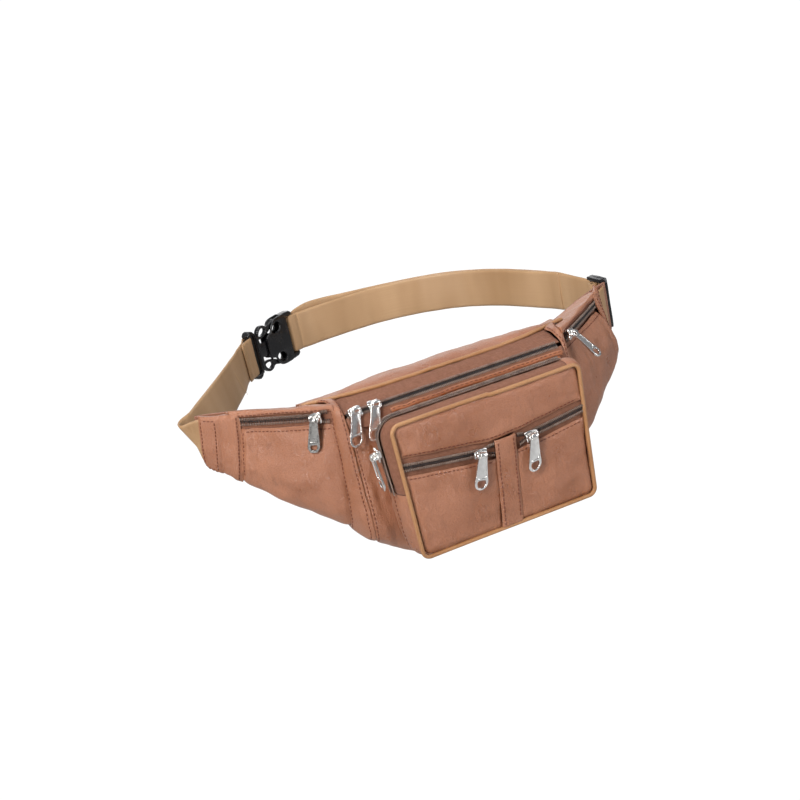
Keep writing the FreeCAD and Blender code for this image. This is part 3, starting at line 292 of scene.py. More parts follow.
def webbing(name, pale, deep):
    """Satin belt webbing: fine lengthwise yarns, faint cross picks and soft bands of sheen painted into the
    colour, with lower roughness there.
    """
    paint = Paint(name, IOR=1.45, Sheen_Weight=0.05, Sheen_Roughness=0.35)
    split = paint.node("SeparateXYZ")
    flow = paint.flow()
    paint.link(flow, split.inputs[0])
    along, across = split.outputs["X"], split.outputs["Y"]
    yarn = paint.math("SINE", paint.math("MULTIPLY", across, 2 * math.pi / 0.00092))
    pick = paint.math("SINE", paint.math("ADD", paint.math("MULTIPLY", along, 2 * math.pi / 0.0012),
                                         paint.math("MULTIPLY", paint.math("PINGPONG", across, 0.00092),
                                                    3400)))
    height = paint.math("ADD", paint.math("MULTIPLY", yarn, 0.26), paint.math("MULTIPLY", pick, 0.2))
    height = paint.math("ADD", height, 0.5)
    streaks = paint.noise(paint.scaled(flow, (9, 900, 1)), 1.0, 2.0)
    sheen_bands = paint.noise(paint.scaled(flow, (17, 4, 1)), 1.0, 3.0)
    # Painted sheen: the colour lightens from deep to pale in soft bands along the belt.
    base = paint.mix(paint.span(sheen_bands, 0.36, 0.66), deep, pale)
    base = paint.mix(paint.span(height, 0.05, 0.6, 0.22, 0.0), base, deep)
    base = paint.mix(paint.span(streaks, 0.35, 0.70, 0.20, 0.0), base, deep)
    rim = paint.span(paint.math("ABSOLUTE", across), 0.0164, 0.0174, 0.0, 0.35)
    paint.colour(paint.mix(rim, base, deep))
    paint.rough(paint.span(sheen_bands, 0.35, 0.7, 0.50, 0.36))
    paint.bump(height, 0.00016, 0.7)
    return paint.material


def metal(name, tone, dull, low=0.10, high=0.26):
    paint = Paint(name, Metallic=1.0)
    at = paint.place()
    smudge = paint.noise(at, 330, 4.0)
    scratch = paint.noise(paint.scaled(at, (1, 1, 0.06)), 2600, 2.0)
    base = paint.mix(paint.span(smudge, 0.35, 0.72), tone, dull)
    paint.colour(paint.mix(paint.span(scratch, 0.60, 0.74, 0.0, 0.25), base, dull))
    paint.rough(paint.span(smudge, 0.3, 0.75, low, high))
    paint.bump(smudge, 0.00009, 0.5)
    paint.bump(scratch, 0.00002, 0.35)
    return paint.material


def plastic(name, tone, worn, low=0.16, high=0.34, fine=900):
    paint = Paint(name, IOR=1.5)
    at = paint.place()
    speckle = paint.noise(at, fine, 3.0)
    haze = paint.noise(at, 90, 3.0)
    paint.colour(paint.mix(paint.span(haze, 0.45, 0.75, 0.0, 0.6), tone, worn))
    paint.rough(paint.span(haze, 0.3, 0.75, low, high))
    paint.bump(speckle, 0.00005, 0.5)
    return paint.material


# The third colour of each leather darkens its grain lines and paints shade into its folds.
LEATHER = leather("tan_leather", rgb(0.405, 0.168, 0.088), rgb(0.295, 0.108, 0.048),
                  rgb(0.115, 0.036, 0.016))
FOLD = leather("folded_leather", rgb(0.40, 0.135, 0.048), rgb(0.29, 0.085, 0.026), rgb(0.12, 0.034, 0.012))
LINING = leather("back_leather", rgb(0.33, 0.145, 0.088), rgb(0.26, 0.105, 0.058), rgb(0.13, 0.048, 0.026),
                 (0.55, 0.7))
PIPING = leather("ochre_piping", rgb(0.43, 0.215, 0.088), rgb(0.34, 0.152, 0.052), rgb(0.16, 0.058, 0.018),
                 (0.34, 0.48), 0.5)
TAPE = tape("zip_tape", rgb(0.33, 0.145, 0.082), rgb(0.135, 0.048, 0.026))
WEB = webbing("khaki_webbing", rgb(0.49, 0.312, 0.172), rgb(0.355, 0.208, 0.100))
RIB = plastic("zip_rib", rgb(0.185, 0.130, 0.103), rgb(0.29, 0.21, 0.17), 0.22, 0.36, 2500)
# Painted shade: near-black colour for the coil heads in the chain's middle gap.
GAP_SHADE = plastic("zip_gap_shade", rgb(0.020, 0.015, 0.014), rgb(0.045, 0.035, 0.032), 0.28, 0.45, 2500)
THREAD = plastic("brown_thread", rgb(0.125, 0.030, 0.012), rgb(0.19, 0.052, 0.022), 0.5, 0.7, 3000)
PALE_THREAD = plastic("khaki_thread", rgb(0.50, 0.33, 0.17), rgb(0.36, 0.22, 0.10), 0.5, 0.7, 3000)
NICKEL = metal("nickel", rgb(0.96, 0.95, 0.93), rgb(0.80, 0.785, 0.76), 0.14, 0.28)
DARK_NICKEL = metal("dull_nickel", rgb(0.52, 0.51, 0.49), rgb(0.34, 0.33, 0.32), 0.18, 0.34)
BLACK = plastic("black_acetal", rgb(0.0045, 0.0045, 0.0052), rgb(0.011, 0.011, 0.0125))


# ---------------------------------------------------------------- mesh helpers
def along(points, share):
    """Smooth line through the points; share runs from 0 to 1 by point count."""
    spans = len(points) - 1
    place = min(max(share, 0.0), 1.0) * spans
    index = min(int(place), spans - 1)
    part = place - index
    start, end = points[index], points[index + 1]
    before = points[index - 1] if index else [2 * a - b for a, b in zip(start, end)]
    after = points[index + 2] if index + 2 <= spans else [2 * b - a for a, b in zip(start, end)]
    found = []
    for a, b, c, d in zip(before, start, end, after):
        found.append(0.5 * (2 * b + (c - a) * part + (2 * a - 5 * b + 4 * c - d) * part ** 2
                            + (3 * b - a - 3 * c + d) * part ** 3))
    return found


def lerp(first, second, share):
    return [a + (b - a) * share for a, b in zip(first, second)]


def ease(share):
    share = min(max(share, 0.0), 1.0)
    return share * share * (3 - 2 * share)


def crumple(point, size, amount, seed=0.0):
    return noise.noise(Vector(point) / size + Vector((seed, seed * 0.7, -seed))) * amount


def close_rows(count, pull=0.72):
    """Shares from 0 to 1, closer together near both ends."""
    return [step / count - pull * math.sin(2 * math.pi * step / count) / (2 * math.pi)
            for step in range(count + 1)]


def write_mesh(name, points, faces, materials, flow=None, material_index=None, smooth=True):
    mesh = bpy.data.meshes.new(name)
    mesh.from_pydata([(x * MM, y * MM, z * MM) for x, y, z in points], [], faces)
    for material in materials:
        mesh.materials.append(material)
    if material_index:
        mesh.polygons.foreach_set("material_index", material_index)
    mesh.polygons.foreach_set("use_smooth", [smooth] * len(mesh.polygons))
    if flow:
        layer = mesh.attributes.new("flow", "FLOAT_VECTOR", "POINT")
        layer.data.foreach_set("vector", [number * MM for row in flow for number in row])
    mesh.update()
    made = bpy.data.objects.new(name, mesh)
    bpy.context.collection.objects.link(made)
    return made


def settle(made, slot, nodes=(), body=PACK):
    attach(made, body)
    if nodes:
        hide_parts(*nodes)
    return made


def surface(place, swell=None, out=(0, -1, 0)):
    """Point and outward normal of a soft sheet; swell is how far it stands off its base."""
    guide = Vector(out)

    def at(u, v):
        step = 0.004
        base = Vector(place(u, v))
        across = Vector(place(min(u + step, 1), v)) - Vector(place(max(u - step, 0), v))
        down = Vector(place(u, min(v + step, 1))) - Vector(place(u, max(v - step, 0)))
        normal = across.cross(down)
        if normal.length < 1e-9:
            normal = guide.copy()
        normal.normalize()
        if at.side is None:
            at.side = -1 if normal.dot(guide) < 0 else 1
        normal *= at.side
        if swell:
            base += normal * swell(u, v, base)
        return base, normal

    at.side = None
    at(0.5, 0.5)
    return at


def sheet(name, at, columns, rows, material, slot, nodes=(), thick=1.3, size=(100, 60), body=PACK,
          close=0.72):
    """Leather or tape sheet over a surface, with its thickness turned inward."""
    us, vs = close_rows(columns, close), close_rows(rows, close)
    points, flow = [], []
    for v in vs:
        for u in us:
            point, _ = at(u, v)
            points.append(point)
            flow.append((u * size[0], v * size[1], 0))
    faces = []
    wide = columns + 1
    for row in range(rows):
        for column in range(columns):
            a = row * wide + column
            quad = (a, a + 1, a + wide + 1, a + wide)
            faces.append(quad if at.side > 0 else quad[::-1])
    made = write_mesh(name, points, faces, [material], flow)
    wall = made.modifiers.new("thickness", "SOLIDIFY")
    wall.thickness = thick * MM
    wall.offset = -1
    return settle(made, slot, nodes, body)


def edge_roll(u, v, size, drop=0.9, reach=2.6, sides="lrtb"):
    """Leather dips into the seams at its chosen sides: left, right, top, bottom."""
    gaps = {"l": u * size[0], "r": (1 - u) * size[0], "t": v * size[1], "b": (1 - v) * size[1]}
    nearest = min(gaps[side] for side in sides)
    return -drop * math.exp(-(nearest / reach) ** 2)


def dome(u, v, power=0.55):
    return (max(4 * u * (1 - u), 0) ** power) * (max(4 * v * (1 - v), 0) ** power)


def frames(path, closed=False, guide=None):
    """Tangent and a steady side vector at each point of a path."""
    count = len(path)
    result = []
    side = None
    for index in range(count):
        if closed:
            ahead, behind = path[(index + 1) % count], path[index - 1]
        else:
            ahead, behind = path[min(index + 1, count - 1)], path[max(index - 1, 0)]
        tangent = (Vector(ahead) - Vector(behind)).normalized()
        if guide is not None:
            side = tangent.cross(guide[index] if isinstance(guide, list) else Vector(guide)).normalized()
        elif side is None:
            side = tangent.cross(Vector((0, 0, 1)))
            if side.length < 0.1:
                side = tangent.cross(Vector((0, 1, 0)))
            side.normalize()
        else:
            side = (side - tangent * side.dot(tangent)).normalized()
        result.append((tangent, side, side.cross(tangent)))
    return result


def sweep(name, path, section, material, slot, nodes=(), closed=False, guide=None, body=PACK,
          taper=None, caps=True):
    """Section of (side, up) offsets carried along the path; flow follows the run and the section."""
    around = len(section)
    axes = frames(path, closed, guide)
    points, flow, run = [], [], 0.0
    for index, centre in enumerate(path):
        if index:
            run += (Vector(centre) - Vector(path[index - 1])).length
        _, side, up = axes[index]
        grow = taper(index / (len(path) - 1)) if taper else 1.0
        for a, b in section:
            points.append(Vector(centre) + side * (a * grow) + up * (b * grow))
            flow.append((run, a, b))
    faces = []
    steps = len(path) if closed else len(path) - 1
    for index in range(steps):
        first, second = index * around, ((index + 1) % len(path)) * around
        for turn in range(around):
            following = (turn + 1) % around
            faces.append((first + turn, first + following, second + following, second + turn))
    if caps and not closed:
        faces.append(tuple(range(around))[::-1])
        last = (len(path) - 1) * around
        faces.append(tuple(last + turn for turn in range(around)))
    made = write_mesh(name, points, faces, [material], flow)
    return settle(made, slot, nodes, body)


def circle(radius, count=12, flat=1.0):
    return [(radius * math.cos(2 * math.pi * step / count),
             flat * radius * math.sin(2 * math.pi * step / count))
            for step in range(count)]


def resample(points, pitch):
    """Points at an even pitch along a polyline, with the run at each."""
    points = [Vector(point) for point in points]
    result, run, target = [], 0.0, 0.0
    for start, end in zip(points, points[1:]):
        length = (end - start).length
        while length > 1e-9 and target <= run + length:
            result.append((start.lerp(end, (target - run) / length), target))
            target += pitch
        run += length
    return result, run


class Beads:
    """Many small rounded pieces gathered into one mesh."""

    def __init__(self):
        self.points, self.faces, self.index = [], [], []

    def add(self, centre, long_axis, side_axis, size, material=0, rings=4, around=6):
        long_axis, side_axis = long_axis.normalized(), side_axis.normalized()
        up_axis = long_axis.cross(side_axis)
        start = len(self.points)
        for ring in range(rings + 1):
            angle = math.pi * ring / rings - math.pi / 2
            reach = math.sin(angle)
            reach = math.copysign(abs(reach) ** 0.8, reach) * size[0]
            grow = max(math.cos(angle), 0.0) ** 0.55
            for turn in range(around):
                spin = 2 * math.pi * turn / around
                wide, high = size[1] * grow * math.cos(spin), size[2] * grow * math.sin(spin)
                self.points.append(centre + long_axis * reach + side_axis * wide + up_axis * high)
        for ring in range(rings):
            for turn in range(around):
                a = start + ring * around + turn
                b = start + ring * around + (turn + 1) % around
                self.faces.append((a, b, b + around, a + around))
                self.index.append(material)

    def finish(self, name, materials, slot, nodes=(), body=PACK):
        made = write_mesh(name, self.points, self.faces, materials, None, self.index)
        return settle(made, slot, nodes, body)


def stitch(beads, at, across, down, pitch=3.5, long=2.5, lift=0.16, thick=0.42):
    """Dashes of thread on a surface; across and down each give a start in u or v and how far it runs."""
    shares = [step / 160 for step in range(161)]
    samples = [at(across[0] + across[1] * share, down[0] + down[1] * share) for share in shares]
    spots, total = resample([point for point, _ in samples], pitch)
    for (spot, run), (after, _) in zip(spots, spots[1:]):
        normal = samples[min(int(160 * run / max(total, 1e-6)), 160)][1]
        way = after - spot
        side = way.cross(normal)
        beads.add((spot + after) / 2 + normal * lift, way, side, (long / 2, thick, thick))


# ---------------------------------------------------------------- zip chains
def chain(name, path, outs, nodes, part=None, pitch=1.35, half=2.2, body=PACK):
    """Two rows of coil ribs either side of a middle painted near-black as shade; part(run, total) opens a
    stretch.
    """
    beads = Beads()
    spots, total = resample(path, pitch)
    count = len(path) - 1
    for number, (spot, run) in enumerate(spots[:-1]):
        share = run / total
        index = min(int(share * count), count - 1)
        out = Vector(outs[index] if isinstance(outs, list) else outs).normalized()
        way = (spots[number + 1][0] - spot).normalized()
        side = way.cross(out).normalized()
        spread = part(run, total) if part else 0.0
        for sign in (1, -1):
            lean = way * (0.22 * sign)
            centre = spot + side * (sign * (half + spread)) + out * 0.25
            beads.add(centre, side + lean, way, (1.20, 0.46, 0.74), 0)
            # Inner beads are the coil heads, painted near-black as the shade between the two rows.
            inner = spot + side * (sign * (0.55 + spread)) + way * (0.33 * sign) - out * 0.05
            beads.add(inner, side, way, (0.80, 0.42, 0.52), 1, 3, 5)
    return beads.finish(name, [RIB, GAP_SHADE], "zip_coil", nodes, body)


# ---------------------------------------------------------------- main compartment
MIDDLE = [(-53.5, 32), (-58, 8), (-61, -24), (-62, -56), (-60, -80), (-48, -90.5), (-24, -88), (-1.2, -79)]
SEAM_B = [(-91.6, -48, 40), (-92.1, -54, 12), (-92.5, -60, -24), (-93, -62.4, -44), (-92.6, -57, -56),
          (-92, -44, -60), (-91.8, -20, -59), (-91.6, -1.2, -57)]
SEAM_A = [(-97.8, -36.4, 47.5), (-99.4, -39.5, 20), (-101, -41.6, -8), (-102.4, -41, -32),
          (-102.6, -36, -46),
          (-101.5, -24, -52), (-100.5, -12, -54), (-100, -1.4, -54)]


def mirrored(points, sign):
    return [(sign * x, y, z) for x, y, z in points]


def front_place(u, v):
    sign = -1 if u < 0.5 else 1
    side = along(SEAM_B, v)
    across = (2 * u - 1) * abs(side[0])
    share = max((abs(across) - 38) / (abs(side[0]) - 38), 0.0) ** 1.45
    y, z = lerp(along(MIDDLE, v), side[1:], share)
    return (across, y, z)


def front_swell(u, v, point):
    x = abs((2 * u - 1) * 92)
    near = math.exp(-((x - 83) / 6.5) ** 2)
    wrinkle = near * (0.9 * math.sin(v * 6 + 0.8) + crumple((point.x, point.y * 0.4, point.z * 0.35), 7,
                                                            1.5, 3))
    calm = 1 - 0.8 * ease((v - 0.48) / 0.2)
    return (calm * (crumple(point, 26, 1.6) + wrinkle) + 0.5 * crumple(point, 8, 0.9, 7)
            + edge_roll(u, v, (184, 170), 1.2, 2.4, "lrb"))


def make_main_front():
    at = surface(front_place, front_swell)
    sheet("main_front_leather", at, 120, 64, LEATHER, "leather", ["main_front_panel"], size=(184, 170))
    beads = Beads()
    for edge in (0.012, 0.988):
        stitch(beads, at, (edge, 0), (0.03, 0.60))
    beads.finish("main_front_stitches", [THREAD], "leather")


def make_bands():
    for side, sign in (("left", -1), ("right", 1)):
        inner, outer = mirrored(SEAM_B, -sign), mirrored(SEAM_A, -sign)
        inner = [(sign * 90.0, -24.5, 50.6), (sign * 90.5, -38.5, 48.0)] + inner
        outer = [(sign * 101.5, -19.0, 51.2), (sign * 97.4, -30.5, 50.9)] + outer

        def place(u, v, inner=inner, outer=outer):
            return lerp(along(inner, v), along(outer, v), u)

        def swell(u, v, point):
            calm = 1 - 0.8 * ease((v - 0.5) / 0.2)
            return (1.5 * dome(u, v, 0.6) + calm * (crumple(point, 9, 0.8, 2) + crumple(point, 24, 0.9, 5))
                    + edge_roll(u, v, (13, 120), 0.8, 1.6, "lr") + 0.5)

        at = surface(place, swell, (sign, -1, 0))
        sheet(side + "_band_leather", at, 16, 80, LEATHER, "leather", [side + "_band"], 1.6, (13, 150))
        beads = Beads()
        for edge in (0.14, 0.90):
            stitch(beads, at, (edge, 0), (0.02, 0.68))
        beads.finish(side + "_band_stitches", [THREAD], "leather")


# ---------------------------------------------------------------- wings
TAB_SEAM = [(-157.0, 11.3, 37.0), (-158.8, 12.9, 28), (-160.6, 14.3, 17), (-162.6, 16.0, 5),
            (-164.6, 18.6, -5),
            (-164.0, 22.6, -8.6), (-162.6, 25, -8.8), (-161, 27.5, -8.2)]
WING_EDGE = [(-98.4, -38.2, 36.6), (-99.6, -40.2, 20), (-101, -42.2, -8), (-102.4, -41.4, -32),
             (-102.6, -36.5, -46),
             (-101.5, -24, -52), (-100.5, -12, -54), (-100, -4, -54)]
TIP = math.hypot(TIP_X - ROOT_X, TIP_Y - ROOT_Y)
WING_X, WING_Y = (TIP_X - ROOT_X) / TIP, (TIP_Y - ROOT_Y) / TIP


def wing_plane(run, z, off=0.0):
    """Point in the left wing's front plane, run millimetres outward from its root."""
    return (-ROOT_X - run * WING_X - off * WING_Y, ROOT_Y + run * WING_Y - off * WING_X, z)


def wing_base(u, v):
    return lerp(along(WING_EDGE, v), along(TAB_SEAM, v), u)


def wing_swell(u, v, point):
    low = math.exp(-((v - 0.36) / 0.24) ** 2)
    calm = 1 - 0.8 * ease((v - 0.42) / 0.22)
    fat = (5.2 if point.x < 0 else 8.5) * (math.sin(math.pi * u ** 0.85) ** 0.8) * low
    pleat = 1.3 * math.exp(-((u - 0.93) / 0.03) ** 2) - 1.1 * math.exp(-((u - 0.86 + 0.03 * v) / 0.02) ** 2)
    squeezed = (point.x * 0.45, point.y * 0.45, point.z * 1.5)
    fat += pleat * math.exp(-((v - 0.30) / 0.24) ** 2) + crumple(squeezed, 12, 1.0, 21)
    bend = math.exp(-((u - 0.30 - 0.02 * math.sin(v * 9)) / 0.012) ** 2)
    crease = -0.9 * bend * math.exp(-((v - 0.16) / 0.10) ** 2)
    return (fat + crease + calm * (crumple(point, 30, 2.4, 1) + crumple(point, 11, 1.1, 4))
            + edge_roll(u, v, (82, 110), 1.0, 2.2, "lrb"))


def tip_bulge(run, v, reach=9.0):
    """How far the right wing's stuffed end stands out near its tip."""
    return reach * math.exp(-((run - 74) / 24) ** 2) * max(math.sin(math.pi * min(v / 0.86, 1.0)),
                                                           0.0) ** 0.7


def make_wing_leather(side, sign):
    def place(u, v):
        x, y, z = wing_base(u, v)
        more = tip_bulge(u * 82, v) if sign > 0 else 0.0
        return (-sign * x + more * WING_Y, y - more * WING_X, z)

    at = surface(place, wing_swell, (sign * 0.6, -0.8, 0))
    sheet(side + "_wing_leather", at, 56, 56, LEATHER, "leather", [side + "_wing_panel"], 1.4, (82, 110))
    beads = Beads()
    stitch(beads, at, (0.03, 0.94), (0.035, 0), 3.4)
    stitch(beads, at, (0.975, 0), (0.04, 0.50), 3.4)

    def top_place(u, v):
        run = 2 + u * 87
        front = wing_plane(run, 47.4)
        back_y = max((abs(front[0]) - 95) * 41.5 / 87 - 1.2, -1.5)
        rim = 46 - 5 * math.exp(-((abs(front[0]) - 104) / 22) ** 2) + 3 * ease((run - 50) / 60)
        points = [(front[1], 47.2), (front[1] - 0.2, 49.4), (front[1] + 2.0, 51.0 - 0.6 * math.sin(u * 5)),
                  (front[1] * 0.7 + back_y * 0.3, 49.6), (front[1] * 0.25 + back_y * 0.75, rim + 0.8),
                  (back_y, rim - 0.4)]
        y, z = along(points, v)
        return (-sign * front[0], y, z)

    top = surface(top_place, lambda u, v, point: crumple(point, 14, 0.9, 9) + crumple(point, 5, 0.35, 2),
                  (0, 0, 1))
    sheet(side + "_wing_top_leather", top, 50, 22, LEATHER, "leather", [side + "_wing_top_strip"], 1.3,
          (116, 30))
    stitch(beads, top, (0.03, 0.94), (0.09, 0), 3.4)
    beads.finish(side + "_wing_stitches", [THREAD], "leather")


def make_wing_zip(side, sign, slider_run):
    def tape_place(u, v):
        x, y, z = wing_plane(3 + u * 84, 48.2 - v * 12.4, -1.0 - 0.7 * math.sin(math.pi * v))
        return (-sign * x, y, z)

    at = surface(tape_place, lambda u, v, point: crumple(point, 6, 0.3, 8), (sign * 0.6, -0.8, 0))
    sheet(side + "_wing_tape", at, 60, 14, TAPE, "zip_tape", [side + "_wing_zip_tape"], 0.7, (84, 12.4),
          close=0.1)
    path = []
    for step in range(61):
        run = 7.5 + step / 60 * 75
        x, y, z = wing_plane(run, 43.2 - 0.5 * math.sin(step / 60 * math.pi), 0.3)
        path.append((-sign * x, y, z))
    out = Vector((sign * WING_Y, -WING_X, 0))

    def part(run, total):
        return 2.2 * ease((slider_run - 7.5 - run) / 7.0)

    chain(side + "_wing_chain", path, out, [side + "_wing_zip_coil"], part)


def make_tab(side, sign, curl):
    def place(u, v):
        seam = along([(-155.6, 10.4, 50.6), (-157.4, 11.9, 34), (-160.2, 14.2, 17), (-163, 16.6, 2),
                      (-164.8, 20.5, -8)], v)
        tip = along([(-182.0, 33.8, 50.2), (-183.6, 34.6, 40), (-185.4, 36.2, 26), (-186.6, 37.6, 14),
                     (-185.6, 38.6, 8)], v)
        x, y, z = lerp(seam, tip, u)
        x, y = x + curl * 9.0 * u, y + curl * 4.0 * u
        dip = 1.2 * math.sin(math.pi * u) * (1 - v)
        more = curl * tip_bulge(82, v * 0.52) * max(1 - u, 0.0) ** 1.3
        return (-sign * x + more * WING_Y, y - more * WING_X, z - dip)

    def swell(u, v, point):
        ridge = 1.1 * math.exp(-((u - 0.16) / 0.10) ** 2)
        patch = 0.8 * ease((u - 0.52) / 0.03)
        hem = -0.8 * math.exp(-((u - 0.50) / 0.02) ** 2)
        return 0.9 + ridge + patch + hem + crumple(point, 12, 0.9, 6) + edge_roll(u, v, (30, 50), 1.4, 1.8)

    at = surface(place, swell, (sign * 0.6, -0.8, 0))
    sheet(side + "_tab_leather", at, 44, 44, LEATHER, "leather", [side + "_tab"], 2.0, (30, 52))

    def roof(u, v):
        x, y, z = place(u, 0.03)
        back_y = (abs(x) - 93) * 41.5 / 88 + 0.6
        return (x, y + (back_y - y) * v, z - 0.6 - 1.6 * v + 1.5 * math.sin(math.pi * v))

    top = surface(roof, lambda u, v, point: crumple(point, 9, 0.5, 4), (0, 0, 1))
    sheet(side + "_tab_top_leather", top, 24, 12, LEATHER, "leather", [side + "_tab"], 1.2, (30, 16))
    beads = Beads()
    for across in (0.94, 0.60):
        stitch(beads, at, (across, 0), (0.09, 0.82), 3.2)
    for height in (0.07, 0.93):
        stitch(beads, at, (0.60, 0.34), (height, 0), 3.2)
    stitch(beads, at, (0.07, 0), (0.04, 0.92), 3.2)
    beads.finish(side + "_tab_stitches", [THREAD], "leather")


# ---------------------------------------------------------------- back panel
def make_back():
    def place(u, v):
        x = (2 * u - 1) * 183
        far = abs(x)
        y = max(far - 93, 0) * 41.5 / 88 + 0.4 * math.exp(-((far - 94) / 7) ** 2)
        top = 46.8 - 4.6 * math.exp(-((far - 112) / 24) ** 2) + 2.2 * ease((far - 130) / 50)
        low = along([(-78.5,), (-78.5,), (-74,), (-60,), (-45,), (-31,), (-18,), (-4,), (6.5,)],
                    far / 183)[0]
        return (x, y, top + (low - top) * v)

    def swell(u, v, point):
        return -0.5 + crumple(point, 34, 0.7, 3) + edge_roll(u, v, (366, 110), 0.5, 3.0)

    at = surface(place, swell, (0, 1, 0))
    sheet("back_leather", at, 150, 44, LINING, "leather", ["back_panel"], 1.6, (366, 120))
    beads = Beads()
    for height in (0.035, 0.965):
        stitch(beads, at, (0.015, 0.97), (height, 0), 4.2, 3.0)
    for across in (0.245, 0.755):
        stitch(beads, at, (across, 0), (0.04, 0.92), 4.2, 3.0)
    beads.finish("back_stitches", [THREAD], "leather")


# ---------------------------------------------------------------- top of the bag
PIPE_LINE = [(-112, -12.5, 47.6), (-108, -15.0, 49.2), (-86, -22.2, 49.6), (-58, -27.4, 49.7),
             (-30, -29.2, 49.8),
             (0, -29.6, 49.9), (30, -29.2, 49.8), (58, -27.4, 49.7), (86, -22.2, 49.6), (108, -15.0, 49.2),
             (112, -12.5, 47.6)]


def make_top():
    def place(u, v):
        front = along(PIPE_LINE, u)
        x = front[0]
        rim = 49.2 - 4.5 * (abs(x) / 112) ** 2
        back = (x, -0.8 + max(abs(x) - 95, 0) * 0.47, rim)
        x, y, z = lerp(front, back, v)
        return (x, y, z + 3.4 * math.sin(math.pi * v ** 0.8) * (1 - (x / 114) ** 4) - 0.6 * (1 - v))

    at = surface(place, lambda u, v, point: crumple(point, 24, 1.6, 2) + crumple(point, 8, 0.5, 5)
                 + edge_roll(u, v, (220, 28), 0.7, 2.0, "t"), (0, 0, 1))
    sheet("main_top_leather", at, 110, 18, LEATHER, "leather", ["main_top_gusset"], 1.4, (224, 28))
    path = [along(PIPE_LINE, step / 140) for step in range(141)]
    path = [(x, y + crumple((x, y, z), 18, 0.35), z + crumple((x, y, z), 14, 0.35, 3)) for x, y, z in path]
    sweep("main_piping_cord", path, circle(1.5, 14), PIPING, "piping", ["main_piping"])


def make_main_zip():
    low, high = (Vector(corner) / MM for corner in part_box("main_zip_coil"))
    half_x = high.x
    centre_y, centre_z = (low.y + high.y) / 2, (low.z + high.z) / 2

    def upper_place(u, v):
        x = (2 * u - 1) * 90.5
        front = along(PIPE_LINE, 0.5 + x / 220)
        start = (x, front[1] - 1.2, 48.8)
        end = (x, centre_y + 1.2, centre_z + 1.2)
        x, y, z = lerp(start, end, v)
        return (x, y, z + 0.8 * math.sin(math.pi * v))

    at = surface(upper_place, lambda u, v, point: crumple(point, 7, 0.4, 3), (0, -0.5, 1))
    sheet("main_upper_tape", at, 110, 16, TAPE, "zip_tape", ["main_zip_upper_tape"], 0.7, (181, 17),
          close=0.1)

    def lower_place(u, v):
        x = (2 * u - 1) * 90.5
        x, y, z = lerp((x, centre_y - 1.4, centre_z - 1.4), (x, -54.6, 32.0), v)
        return (x, y - 0.6 * math.sin(math.pi * v), z)

    at = surface(lower_place, lambda u, v, point: crumple(point, 7, 0.4, 5), (0, -1, 0.5))
    sheet("main_lower_tape", at, 110, 12, TAPE, "zip_tape", ["main_zip_lower_tape"], 0.7, (181, 12),
          close=0.1)
    path = [(-half_x - 1 + step / 120 * (2 * half_x + 2), centre_y, centre_z) for step in range(121)]
    chain("main_chain", path, Vector((0, -1, 1)), ["main_zip_coil"])
    beads = Beads()
    for drop, seed in ((0.0, 1), (4.4, 2)):
        path = [(-58 + drop + step / 120 * (144 - 2 * drop), -56.4 - drop * 0.8 + crumple((step * 1.4, 0,
                                                                                           seed), 9, 0.5),
                 38.6 - drop * 0.62 + crumple((step * 1.4, 5, seed), 11, 0.8)) for step in range(121)]
        sweep("seam_fold_%d" % seed, path, circle(1.9, 12, 0.72), FOLD, "leather", guide=(0, -1, 0.4))
        if seed == 1:
            spots, _ = resample([(x, y - 1.1, z + 1.2) for x, y, z in path], 4.0)
            for (spot, _), (after, _) in zip(spots, spots[1:]):
                beads.add((spot + after) / 2, after - spot, Vector((0, 1, 1)), (1.35, 0.36, 0.36))
    beads.finish("seam_fold_stitches", [THREAD], "leather")


# ---------------------------------------------------------------- front pocket
POCKET_RING = (75.8, 71.4, 43.6, -61.4, 6.0)


def ring_point(share, half_top, half_low, top, low, corner):
    """Place round a rounded outline, from the middle of its top over the left side."""
    share %= 1.0
    sign = -1
    if share > 0.5:
        share, sign = 1 - share, 1
    slope = (half_top - half_low) / (top - low)
    if share < 0.14:
        part = share / 0.14
        x, z = (half_top - corner) * part, top
    elif share < 0.19:
        angle = (share - 0.14) / 0.05 * math.pi / 2
        x, z = half_top - corner + corner * math.sin(angle), top - corner + corner * math.cos(angle)
    elif share < 0.33:
        part = (share - 0.19) / 0.14
        z = top - corner + (low - top + 2 * corner) * part
        x = half_top - slope * (top - corner - z)
    elif share < 0.38:
        angle = (share - 0.33) / 0.05 * math.pi / 2
        base = half_top - slope * (top - low - 2 * corner)
        x, z = base - corner + corner * math.cos(angle), low + corner - corner * math.sin(angle)
    else:
        base = half_top - slope * (top - low - 2 * corner)
        part = (share - 0.38) / 0.12
        x, z = (base - corner) * (1 - part), low
    return sign * x, z


def ring_wave(share):
    """How a ring strays from the straight: sides bow a little and the top sags between corners."""
    return (0.7 * math.sin(share * 12.6), 0.8 * math.sin(share * 9.4 + 1.2))


GUSSET = [(-100.6, 75.6, 71.2, 43.2, -61.2, 6.2), (-97.5, 78.6, 73.6, 45.2, -63.2, 8.6),
          (-92.5, 81.2, 75.6, 46.4, -64.6, 12),
          (-88.5, 82.2, 76.2, 46.6, -65, 13.5), (-84, 82.4, 76.4, 45.4, -65, 16),
          (-76, 80.6, 75.4, 40.5, -64, 21),
          (-68, 77.2, 73.2, 32.5, -61.6, 27), (-61, 75.2, 71.8, 27.5, -59.4, 30),
          (-53.2, 74.2, 71.0, 25.5, -58.4, 31)]


def gusset_place(first, last, start, end, inset=0.0):
    def place(u, v):
        depth = (first + (last - first) * v) / (len(GUSSET) - 1)
        y, half_top, half_low, top, low, corner = along(GUSSET, depth)
        share = start + (end - start) * u
        x, z = ring_point(share, half_top - inset, half_low - inset, top - inset, low + inset, corner)
        return (x, y, z)
    return place


ZIP_END = 0.262
ZIP_START = -0.135


